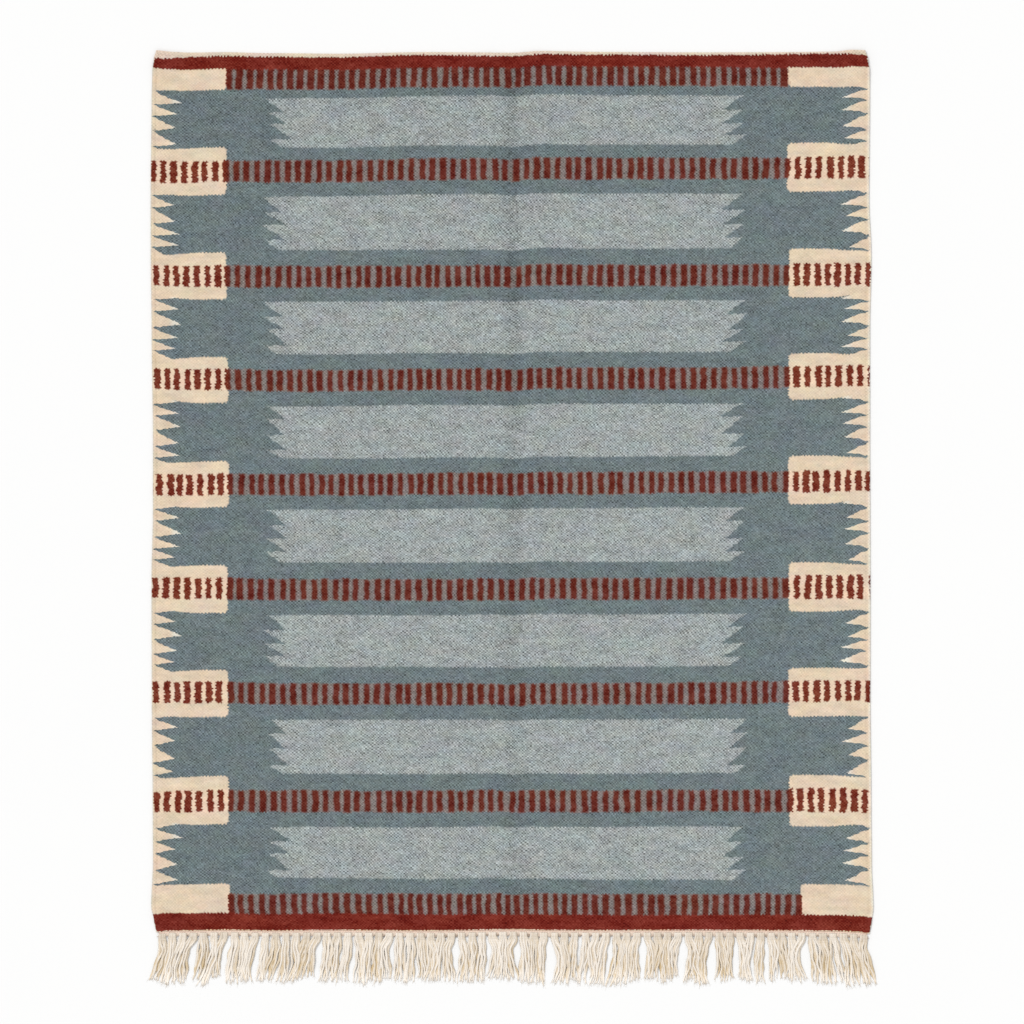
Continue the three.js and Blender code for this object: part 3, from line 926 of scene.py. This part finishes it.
def dyed_yarns(weave, areas, yarns):
    """The colour at a place, and how strongly it shows the weave, its fibres and its dye: each
    area's yarn laid over the ones before it."""
    wool = weave.wool
    blotch = wool.noise(weave.across / 80, weave.down / 55, 3, detail=4, roughness=0.7)
    field = wool.blend((blotch * 1.6 + 0.5).held(), yarns.field_blue, yarns.field_green)
    red = wool.blend(areas["blocks"], yarns.bars, yarns.block_bars)
    red = wool.blend(areas["bands"], red, yarns.madder)
    washed = weave.value("from_side") * WASHED_TIPS["by_mm"] - WASHED_TIPS["less"]
    teeth = wool.blend(washed.held(WASHED_TIPS["most"]), yarns.undyed, yarns.washed)
    colour, contrast = field, CONTRASTS["field"]
    for share, yarn, shown in (
        (areas["panels"], yarns.pale, "panels"),
        (areas["side_teeth"], teeth, "teeth"),
        (areas["bars"], yarns.gap, "between_bars"),
        (areas["blocks"], wool.blend(areas["bars"], yarns.undyed, yarns.stained), "blocks"),
        (areas["reds"], red, "reds"),
        (areas["hem"], yarns.hem, "edges"),
        (areas["foot"], yarns.stained, "edges"),
        # The last two layers: painted shade on the rolled rim, and painted light on the right rim
        # in the washed wool's colour
        (areas["rim_shade"], yarns.rim, "edges"),
        (areas["lit_rim"] * LIT_RIM_PALER, yarns.washed, "edges"),
    ):
        colour = wool.blend(share, colour, yarn)
        contrast = wool.blend(share, contrast, CONTRASTS[shown])
    return colour, contrast


def woven_wool(settings, yarns):
    """The cloth's wool. Each yarn area is a signed distance from the chart, made uneven by the
    weave, and each yarn's light and dark come from the crossing of warps and picks, painted as
    light on the raised weft and shade in its pits and partly the warps' own colour, the mix of its
    fibres, its dye, painted shade along the crease and the stitched line, and painted light on the
    right rim."""
    wool = Finish("woven_wool_yarn", roughness=0.95, specular=0.06, sheen=0.03)
    weave = Weave(wool, settings)
    areas = yarn_areas(weave, settings)
    colour, contrast = dyed_yarns(weave, areas, yarns)
    across, down, cell = weave.across, weave.down, weave.cell

    # Painted shade along the crease, fainter towards the foot and kept off the hem
    fading = CREASE["less_at_foot"] / (settings.length / MM)
    off_crease = (across - CREASE["across"]) / CREASE["width"]
    crease = (off_crease * off_crease * -1).exponent() * (CREASE["shade"] - down * fading)
    # Painted shade along the stitched line's dip
    stitch_shade = edge_line((wool.value("from_edge") - STITCH["line"]).size(), STITCH_SHADE)
    streak = wool.noise(across / 52, down / 20, detail=2) * 2.4
    slub = wool.noise(across / 11, weave.pick * 3.7, 2) * 1.6
    dye = (down / -DYE["fade"]).exponent() * DYE["at_hem"] + across * DYE["to_right"] + DYE["base"]
    of_weave, of_fibres, of_dye = wool.parts(contrast)
    # The crossings: painted light on the raised weft and painted shade in its pits, partly the
    # warps' own colour; the mixed fibres, slubs, dye and streaks are the wool's own
    shade = weave.crossing * of_weave * between(CROSSING_SHOWS, cell[2])
    shade += (cell[0].centred() + slub + dye) * of_fibres + streak * of_dye
    # Adds painted light on the right rim, and takes off the painted shade of the crease, kept off
    # the hem, and of the stitched line
    shade += areas["lit_rim"] * LIT_RIM_LIGHTER - crease * (1.0 - areas["hem"]) - stitch_shade
    # How the shade acts on the reds: as grey added, not as a darker red
    red_shade_gain = wool.blend(areas["reds"] * (1.0 - areas["hem"]), WHITE, RED_SHADES)
    shades = wool.combined("MULTIPLY_ADD", shade, red_shade_gain, WHITE)
    shades = wool.combined("MAXIMUM", shades, DARKEST)

    warmth = wool.noise(across / 70, down / 48, 9, detail=4, roughness=0.85) * 0.14
    green = wool.noise(across / 75, down / 52, 31, detail=4, roughness=0.75) * 0.13
    russet = wool.noise(across / 130, down / 60, 47, detail=2) * areas["reds"]
    tint = wool.vector(
        warmth + russet * 0.05 + 1, green + russet * 0.16 + 1, 1.0 - warmth - russet * 0.1
    )
    wool.raised(weave.crossing * 0.5 + cell[1] * 0.3 + 0.5, settings.weave_depth)
    return wool.painted(wool.combined("MULTIPLY", wool.combined("MULTIPLY", colour, tint), shades))


def linear(part):
    """One part of a colour as seen on a screen, from 0 to 255, as the light that it stands for."""
    part = part / 255
    return part / 12.92 if part <= 0.04045 else ((part + 0.055) / 1.055) ** 2.4


def hue(name, seen, description):
    """A colour setting whose default is how the yarn looks under the studio's light."""
    return FloatVectorProperty(
        name=name, description=description, subtype="COLOR", size=3, min=0, max=1,
        default=[linear(part) / STUDIO_LIGHT for part in seen],
    )


def span(name, millimetres, description):
    return FloatProperty(
        name=name, description=description, default=millimetres * MM, min=0.0, unit="LENGTH",
        precision=4,
    )


class RugClothSettings(PropertyGroup):
    """Sizes of the woven cloth"""

    width: span("Width", 1600, "From selvedge to selvedge")
    length: span("Length", 1956, "From the hem to the foot, without the fringe")
    thickness: span("Thickness", 4, "Of plain cloth")
    cell: span("Cell", 9, "Of the grid that the cloth is modelled on")
    warp_pitch: span("Warp pitch", 3.85, "From one warp to the next")
    weft_pitch: span("Weft pitch", 3.37, "From one pick of weft to the next")
    bar_width: span("Bar width", 13.7, "Of each red bar")
    weave_depth: span("Weave depth", 0.5, "How high the weft stands in the weave")


class RugYarnSettings(PropertyGroup):
    """Colours of the yarns"""

    field_green: hue("Greener field", (110, 123, 123), "The dusky ground's green yarn")
    field_blue: hue("Bluer field", (110, 121, 127), "The dusky ground's blue yarn")
    pale: hue("Pale panels", (157, 164, 164), "The light mixed yarn")
    madder: hue("Madder", (118, 40, 30), "The red bands")
    bars: hue("Bars", (101, 42, 32), "The red bars")
    block_bars: hue("Bars on blocks", (119, 51, 35), "The red bars on the end blocks")
    undyed: hue("Undyed wool", (228, 208, 183), "The end blocks and the side teeth")
    washed: hue("Washed wool", (232, 227, 214), "The side teeth's inner tips")
    stained: hue("Stained wool", (237, 210, 185), "The undyed wool between the bars")
    gap: hue("Between bars", (130, 121, 118), "The grey between the bars")
    hem: hue("Hem", (224, 206, 187), "The plain hem")
    # Painted shade along the rolled outer edge
    rim: hue("Rim", (202, 199, 188), "The greyed outer edge")


class RugFringeSettings(PropertyGroup):
    """Sizes and colours of the fringe"""

    locks: IntProperty(name="Locks", description="Along the foot", default=69, min=2)
    strings: IntProperty(name="Strings", description="In each lock", default=8, min=2)
    string_width: span("String width", 4.9, "Of each cotton string")
    longest: span("Longest", 112, "The longest string")
    shortest: span("Shortest", 87, "The shortest string")
    steps: IntProperty(name="Steps", description="Along each string", default=22, min=5)
    sides: IntProperty(name="Sides", description="Round each string", default=5, min=3)
    fibres: IntProperty(name="Fibres", description="At the tip of each string", default=4, min=1)
    # The pale tops and the tan undersides are painted light and shade on the cotton; the tan also
    # marks strings of a darker tone
    pale: hue("Pale cotton", (249, 240, 229), "The tops of the strings")
    tan: hue("Tan cotton", (217, 191, 147), "The undersides of the strings")
    web: hue("Web strip", (236, 216, 199), "The strip that holds the strings")
    bled: hue("Bled dye", (244, 214, 196), "The strip's edge at the red band")
    shaded: hue("Shaded cotton", (204, 194, 189), "The strings just below the strip")
    # Painted shadow in the gaps between the locks' roots
    gap_shadow: hue("Knot", (172, 153, 136), "The shaded knots between the locks")


class RugStageSettings(PropertyGroup):
    """The studio: the floor, the lights and the camera"""

    floor: FloatVectorProperty(
        name="Floor", description="The floor's colour", subtype="COLOR", size=3, min=0, max=1,
        default=(0.747, 0.749, 0.753),
    )
    floor_size: span("Floor size", 60000, "Each way")
    sky: FloatProperty(name="Sky", description="Strength of the even light", default=0.93, min=0)
    sun: FloatProperty(name="Sun", description="Strength of the soft light", default=1.75, min=0)
    sun_size: FloatProperty(
        name="Sun size", description="How wide the main light looks", default=radians(24),
        subtype="ANGLE",
    )
    lens: FloatProperty(
        name="Lens", description="The camera's focal length", default=120.0, unit="CAMERA"
    )
    seen_width: span("Seen width", 2280.5, "What the frame shows across, at the floor")


def weave_cloth(scene):
    """The cloth as one closed sheet, with its chart's distances as attributes."""
    settings = scene.rug_cloth
    cloth = Cloth(settings)
    cell = settings.cell / MM
    columns = graded_lines(cloth.width, cell) - cloth.width / 2
    rows = graded_lines(cloth.length, cell * CELL_LONGER, RIM_LINES_AT_FOOT)
    across, down = np.meshgrid(columns, rows)
    right, up = cloth.place(across, down)
    half = cloth.thickness_at(across, down) / 2
    points, faces = cloth.sheet(right, up, cloth.lift(across, down), half, cloth.rim(across, down))
    piece = new_object("woven_cloth", points, faces)
    for name, values in Chart(cloth, across, down).values().items():
        give_values(piece, name, on_both_sides(values))
    give_sheet_map(piece, "OFBake", across / cloth.width + 0.5, 1 - down / cloth.length)
    piece.data.materials.append(woven_wool(settings, scene.rug_yarns))
    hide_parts("kilim_cloth")
    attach(piece, "root")
    return piece


def lock_roots(cloth, settings):
    """Each lock's root, how far its tip drifts sideways as the rug's fringe leans there, and how
    far the lock gathers towards the middle of its group of a few neighbours."""
    lock = np.arange(settings.locks)
    even = np.linspace(-cloth.root_reach, cloth.root_reach, settings.locks)
    root = np.clip(even + varied("lock_root", lock), -cloth.root_reach, cloth.root_reach)
    group = np.floor(lock / LOCKS_IN_GROUP + varied("lock_group", lock)).astype(int)
    group = np.maximum(group, 0)
    middle = (np.bincount(group, root) / np.maximum(np.bincount(group), 1))[group]
    gather = GATHER["share"] * (middle - root) + varied("lock_gather", lock)
    drift = eased(LEAN, "across", "drift", root)
    return root, drift + varied("group_drift", group) + varied("lock_drift", lock), gather


def sway(share, kind, number):
    """A sideways sway that starts at 0: a sine of so many radians along the longest string."""
    phase = varied(kind + "_phase", number)
    turned = np.sin(share * varied(kind + "_waves", number) + phase)
    return varied(kind, number) * (turned - np.sin(phase))


def string_paths(cloth, settings):
    """The middle line of each string, in arrays of strings by steps. A string starts on the web
    strip beside its lock's root. Its lock widens below the strip's foot and splays by a power of
    its depth, drifts by another, gathers with its neighbours and sways by a sine. The string adds a
    sway and a quicker crimp of its own. Every other string of a lock lies underneath."""
    number = np.arange(settings.locks * settings.strings)[:, None]
    lock = number // settings.strings
    place = number % settings.strings
    under = place % 2 == 1
    root, drift, gather = lock_roots(cloth, settings)
    foot_right, foot_up = cloth.web_place(root, np.full_like(root, WEB_DEPTH))
    longest = settings.longest / MM
    length = varied("lock_length", lock) + varied("string_length", number)
    length = between((settings.shortest / MM, longest), np.clip(length, *LENGTH_SHARES))
    length = length + eased(LEAN, "across", "longer", root)[lock]
    step = np.linspace(0, 1, settings.steps)
    depth = between((-ROOT_ABOVE_FOOT, length), step)
    share = np.maximum(depth, 0) / longest
    free = smooth(share / FREE_FROM)

    spread = SPREAD["at_root"] + varied("lock_widening", lock) * past(depth, SPREAD)
    spread = spread + varied("lock_splay", lock) * share ** SPREAD["splay_power"]
    side = place / (settings.strings - 1) * 2 - 1 + varied("string_side", number)
    swaying = sway(share, "lock_sway", lock) + sway(share, "string_sway", number)
    swaying = swaying + sway(share, "crimp", number)
    stray = np.where(varied("strays", number) > STRAYS_ABOVE, varied("stray_drift", number), 0)
    own_drift = (varied("string_drift", number) + stray) * share ** DRIFT_POWERS["string"]
    gathered = smooth(share / GATHER["by"]) * (1 - GATHER["eases"] * past(share, GATHER))
    right = foot_right[lock] + side * spread + swaying * free + own_drift
    right = right + drift[lock] * share ** DRIFT_POWERS["lock"] + gather[lock] * gathered

    thick = np.where(under, UNDER_THICKER, 1) + varied("string_thickness", number)
    grown = between((STRING_TAPER["at_root"], 1), smooth(depth / STRING_TAPER["grows_over"]))
    thin = grown * (1 - STRING_TAPER["lost"] * past(step, STRING_TAPER))
    radius = settings.string_width / MM / 2 * thick * thin
    layer = np.where(under, 0, 1 + place // 2 % 2) + varied("string_layer", number)
    rise = np.sin(np.clip(step * STRING_RISE["reach"], 0, 1) * pi) ** STRING_RISE["power"]
    flatness = np.where(under, STRING_FLATNESS["under"], STRING_FLATNESS["over"])
    height = radius * flatness * (1 + STRING_RISE["by_layer"] * layer * rise * free)
    height = height + WEB_THICKNESS * OVER_WEB["share"] * smooth(1 - depth / OVER_WEB["reach"])
    middle = np.stack([right, foot_up[lock] - depth, height], axis=-1)
    return middle, radius, flatness, number, depth, under


def sideways(along):
    """The level unit vector to the left of each direction."""
    level = np.stack([-along[..., 1], along[..., 0], np.zeros_like(along[..., 0])], axis=-1)
    return level / np.linalg.norm(level, axis=-1, keepdims=True)


def fibre_paths(middle, radius, fibres):
    """The middle line of each loose fibre: it leaves its string before the tip, runs on past it,
    and strays sideways by the square of its share of the way."""
    string = np.repeat(np.arange(len(middle)), fibres)
    number = np.arange(len(string))[:, None]
    leave = middle[string, FIBRES["leave"]][:, None]
    ahead = middle[string, -1][:, None] - leave
    step = np.linspace(0, 1, FIBRE_STEPS)
    share = step[:, None]
    path = leave + ahead * varied("fibre_length", number)[:, None] * share
    path = path + sideways(ahead) * varied("fibre_drift", number)[:, None] * share**2
    path[..., 2] = np.maximum(path[..., 2] + varied("fibre_height", number), FIBRES["lowest"])
    thin = FIBRES["thick"] - FIBRES["thinner"] * step
    return path, thin * radius[string, FIBRES["leave"] - 1][:, None] / FIBRES["string"]


def ring_turns(sides):
    """The turn of each of a ring's points, which starts half a side up from the level."""
    return np.arange(sides) / sides * 2 * pi + pi / sides


def tube_points(middle, radius, sides, flatness):
    """Rings round each path: the middle, plus the radius times a turn between the level side
    vector and straight up, which is shortened by the path's flatness."""
    level = sideways(np.gradient(middle, axis=1))[:, :, None, :]
    upright = (flatness * np.array([0.0, 0.0, 1.0]))[:, None, None, :]
    turn = ring_turns(sides)[:, None]
    ring = np.cos(turn) * level + np.sin(turn) * upright
    return middle[:, :, None, :] + radius[..., None, None] * ring


def tube_faces(strings, steps, sides, first=0):
    """Four-cornered faces round each tube, and one face over each of its ends."""
    number = first + np.arange(strings * steps * sides).reshape(strings, steps, sides)
    after = np.roll(number, -1, axis=2)
    walls = np.stack([number[:, :-1], after[:, :-1], after[:, 1:], number[:, 1:]], axis=-1)
    return walls.reshape(-1, 4).tolist() + number[:, 0, ::-1].tolist() + number[:, -1].tolist()


def cotton_string(settings):
    """Loosely spun cotton: pale on top, with painted shade in tan on the undersides and on the
    strings that lie below, each string with a tone of its own, and with the slanting ridges of its
    two plies."""
    cotton = Finish("cotton_string", roughness=0.95, specular=0.05, sheen=0.04)
    tone = cotton.value("tone")
    down = cotton.value("depth")
    turn = cotton.value("turn")
    ridge = (turn * (4 * pi) + down * (2 * pi / STRING_PLY["pitch"])).sine()
    mottle = cotton.noise(down / 13, tone * 60, detail=2)
    fibre = cotton.noise(turn * 14, down / 8, tone * 90)
    # Painted light: the tips lighter and less tan
    tip = ((down - PAINTED_TIP_LIGHT["from"]) * PAINTED_TIP_LIGHT["by_mm"]).held()
    root = (1.0 - down / ROOT_SHADE["reach"]).held()
    # The tan's share: painted shade on the undersides and the strings below, with each string's own
    # tone and mottle, less near the strip and at the tips
    tan = cotton.value("lowness") * 0.82 + tone * 0.75 + mottle * 0.6 - 0.34
    warm = between(WARM["shares"], (down * WARM["by_mm"]).least(1))
    tan = (tan.held() * warm - tip * PAINTED_TIP_LIGHT["less_tan"]).most(0)
    colour = cotton.blend(tan, settings.pale, settings.tan)
    colour = cotton.blend(root * between(ROOT_SHADE["by_tone"], tone), colour, settings.shaded)
    cotton.raised(ridge * 0.5 + fibre * 0.4 + 0.5, STRING_PLY["depth"] * MM)
    # Painted shade and light: darker in the ply grooves, lighter at the tips and darker just under
    # the strip; the fibre noise and the tone are the cotton's own
    shade = ridge * 0.04 + fibre * 0.12 - tone * 0.05 + tip * 0.24 - root * 0.02 + 1.03
    return cotton.shaded(colour, shade)


def lay_fringe(scene):
    """The loose warp strings and the fibres at their tips, all in one piece."""
    settings = scene.rug_fringe
    cloth = Cloth(scene.rug_cloth)
    middle, radius, flatness, number, depth, under = string_paths(cloth, settings)
    middle = middle + cloth.shift()
    strings = tube_points(middle, radius, settings.sides, flatness)
    fibre_middle, fibre_radius = fibre_paths(middle, radius, settings.fibres)
    fibres = tube_points(fibre_middle, fibre_radius, FIBRE_SIDES, np.ones((len(fibre_middle), 1)))
    points = np.concatenate([strings.reshape(-1, 3), fibres.reshape(-1, 3)])
    points[:, 2] = np.maximum(points[:, 2], LOWEST_POINT)
    faces = tube_faces(*strings.shape[:3])
    faces += tube_faces(*fibres.shape[:3], first=strings.size // 3)
    piece = new_object("warp_strings", points, faces)

    up = np.sin(ring_turns(settings.sides))
    tone = varied("string_tone", number) + varied("lock_tone", number // settings.strings)
    # Painted shade on each side of a string: more on its underside, most on the strings that lie
    # below
    sides = [between(STRING_UNDERSIDE_SHADE[name], up) for name in ("under", "over")]
    past_tip = depth[:, -1:] + FIBRES["step"] * np.arange(FIBRE_STEPS)
    for name, of_strings, of_fibres in (
        ("tone", tone[..., None], np.repeat(tone, settings.fibres)[:, None, None]),
        ("depth", depth[..., None], np.repeat(past_tip, settings.fibres, axis=0)[..., None]),
        ("turn", np.arange(settings.sides) / settings.sides, 0.5),
        ("lowness", np.where(under, *sides)[:, None], STRING_UNDERSIDE_SHADE["fibre"]),
    ):
        on_strings = np.broadcast_to(of_strings, strings.shape[:3])
        on_fibres = np.broadcast_to(of_fibres, fibres.shape[:3])
        give_values(piece, name, np.concatenate([on_strings.ravel(), on_fibres.ravel()]))
    piece.data.materials.append(cotton_string(settings))
    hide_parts("warp_fringe")
    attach(piece, "root")
    return piece


def web_cotton(settings):
    """The web strip's cotton: bled dye at its top edge, the slanting ridges of its twined weft,
    and painted shadow in the gaps between the locks' roots at its foot."""
    cotton = Finish("web_cotton", roughness=0.95, specular=0.05, sheen=0.04)
    across = cotton.value("across")
    depth = cotton.value("depth")
    ridge = (across * (2 * pi / WEB_PLY["across"]) + depth * (2 * pi / WEB_PLY["down"])).sine()
    speck = cotton.noise(across / 2.6, depth / 2.6, detail=2)
    bled = (BLED["depth"] - depth + speck * BLED["speck"]).inside(BLED["soft"])
    # Painted shadow in the gap between two locks' roots, stronger in some gaps than others
    in_gap_shadow = GAP_SHADOW["half"] - cotton.value("from_knot") + speck * GAP_SHADOW["speck"]
    gap_shadow = in_gap_shadow.inside(GAP_SHADOW["soft"]) * (depth - GAP_SHADOW["depth"]).inside(GAP_SHADOW["soft"])
    lock = (cotton.value("lock") + 0.5).floor()
    gap_shadow *= between(GAP_SHADOW["strength"], cotton.chances(lock, 3)[0])
    colour = cotton.blend(bled * BLED["strength"], settings.web, settings.bled)
    colour = cotton.blend(gap_shadow.least(1), colour, settings.gap_shadow)
    cotton.raised(ridge * 0.5 + 0.5, WEB_PLY["depth"] * MM)
    # Painted shade in the twined weft's grooves; the specks are the cotton's own
    return cotton.shaded(colour, ridge * 0.05 + speck * 0.16 + 1)


def bind_web(scene):
    """The narrow strip that holds the strings: a thin sheet with a rounded rim, a swelling over
    each lock and a foot that is scalloped between them."""
    settings = scene.rug_fringe
    cloth = Cloth(scene.rug_cloth)
    columns = np.linspace(-cloth.web_reach, cloth.web_reach, settings.locks * WEB_CELLS_BY_LOCK + 1)
    across, share = np.meshgrid(columns, WEB_SHARES)
    lock_count = (across / (2 * cloth.root_reach) + 0.5) * (settings.locks - 1)
    from_knot = np.abs(lock_count - np.floor(lock_count) - 0.5) * ROOT_TO_ROOT
    # Tabs at the foot between the locks, which carry the painted shadow of the gaps between the
    # locks' roots
    tab = GAP_SHADOW_TAB["depth"] * hump(from_knot, GAP_SHADOW_TAB["reach"]) * share**2
    wave = WEB_WAVE["size"] * np.sin(across / WEB_WAVE["period"])
    depth = share * (WEB_DEPTH + WEB_WAVE["deeper"] + wave * share) + tab
    right, up = cloth.web_place(across, depth)
    leaning = WEB_LEAN["share"] * np.maximum(depth - WEB_LEAN["below"], 0)
    right = right + eased(LEAN, "across", "drift", across) * leaning
    rim = rounded(np.minimum(share * WEB_RIM["top"], (1 - share) * WEB_RIM["foot"]))
    rim = rim * rounded((cloth.web_reach - np.abs(across)) / WEB_RIM["end"])
    swelling = WEB_SWELLING["over_lock"] * np.cos(lock_count * pi) ** 2 * share
    half = (WEB_THICKNESS - WEB_SWELLING["thinner"] + swelling) / 2
    piece = new_object("web_strip", *cloth.sheet(right, up, 0, half, rim))
    give_values(piece, "across", on_both_sides(across))
    give_values(piece, "depth", on_both_sides(depth))
    give_values(piece, "from_knot", on_both_sides(from_knot))
    give_values(piece, "lock", on_both_sides(np.floor(lock_count)))
    piece.data.materials.append(web_cotton(settings))
    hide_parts("warp_fringe")
    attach(piece, "root")
    return piece


def pale_floor(settings):
    """A plain matt floor with a very faint unevenness."""
    floor = Finish("pale_floor", roughness=0.9, specular=0.1, sheen=0.0)
    place = floor.node("TexCoord").outputs["Object"]
    clouds = Reading(floor, floor.node("TexNoise", place, inputs={"Scale": 3.0}).outputs["Fac"])
    return floor.shaded(settings.floor, clouds.centred() * 0.004 + 1)


def set_stage(scene):
    """The floor, an even sky, a wide soft sun from the upper left, and a camera straight above."""
    settings = scene.rug_stage
    half = settings.floor_size / MM / 2
    corners = np.array([[-half, -half, 0], [half, -half, 0], [half, half, 0], [-half, half, 0]])
    floor = new_object("floor", corners, [(0, 1, 2, 3)])
    floor.data.materials.append(pale_floor(settings))

    world = bpy.data.worlds.new("studio")
    world.use_nodes = True
    background = world.node_tree.nodes["Background"]
    background.inputs["Color"].default_value = (1, 1, 0.995, 1)
    background.inputs["Strength"].default_value = settings.sky
    scene.world = world

    lamp = bpy.data.lights.new("soft_sun", "SUN")
    lamp.energy = settings.sun
    lamp.angle = settings.sun_size
    lamp.color = (1, 0.99, 0.97)
    sun = bpy.data.objects.new("soft_sun", lamp)
    sun.rotation_euler = (radians(-32), radians(-34), 0)
    scene.collection.objects.link(sun)

    camera_data = bpy.data.cameras.new("above")
    camera_data.lens = settings.lens
    camera_data.sensor_width = 36
    camera_data.clip_end = 200
    camera = bpy.data.objects.new("above", camera_data)
    middle = (Cloth(scene.rug_cloth).shift() + SEEN_MIDDLE) * MM
    distance = settings.seen_width * settings.lens / camera_data.sensor_width
    camera.location = (middle[0], middle[1], distance)
    scene.collection.objects.link(camera)
    scene.camera = camera
    scene.view_settings.view_transform = "Standard"


class RUG_OT_weave_cloth(Operator):
    """Weave the cloth of the rug"""

    bl_idname = "rug.weave_cloth"
    bl_label = "Weave the cloth"

    def execute(self, context):
        weave_cloth(context.scene)
        return {"FINISHED"}


class RUG_OT_lay_fringe(Operator):
    bl_idname = "rug.lay_fringe"
    bl_label = "Lay the fringe"

    def execute(self, context):
        web = bind_web(context.scene)
        strings = lay_fringe(context.scene)
        return {"FINISHED"}


class RUG_OT_set_stage(Operator):
    """Set the floor, the lights and the camera"""

    bl_idname = "rug.set_stage"
    bl_label = "Set the stage"

    def execute(self, context):
        set_stage(context.scene)
        return {"FINISHED"}


class RUG_PT_kilim(Panel):
    """Lists the rug's settings and steps"""

    bl_label = "Kilim rug"
    bl_space_type = "VIEW_3D"
    bl_region_type = "UI"
    bl_category = "Kilim rug"

    def draw(self, context):
        scene = context.scene
        for settings, operator in (
            (scene.rug_cloth, RUG_OT_weave_cloth),
            (scene.rug_yarns, None),
            (scene.rug_fringe, RUG_OT_lay_fringe),
            (scene.rug_stage, RUG_OT_set_stage),
        ):
            box = self.layout.box()
            for name in type(settings).__annotations__:
                box.prop(settings, name)
            if operator:
                box.operator(operator.bl_idname)


SETTINGS = {
    "rug_cloth": RugClothSettings,
    "rug_yarns": RugYarnSettings,
    "rug_fringe": RugFringeSettings,
    "rug_stage": RugStageSettings,
}
CLASSES = (
    *SETTINGS.values(),
    RUG_OT_weave_cloth,
    RUG_OT_lay_fringe,
    RUG_OT_set_stage,
    RUG_PT_kilim,
)


def register():
    for cls in CLASSES:
        bpy.utils.register_class(cls)
    for name, settings in SETTINGS.items():
        setattr(bpy.types.Scene, name, PointerProperty(type=settings))


def unregister():
    for name in SETTINGS:
        delattr(bpy.types.Scene, name)
    for cls in reversed(CLASSES):
        bpy.utils.unregister_class(cls)


def main():
    register()
    bpy.ops.rug.weave_cloth()
    bpy.ops.rug.lay_fringe()
    bpy.ops.rug.set_stage()


if __name__ == "__main__":
    main()
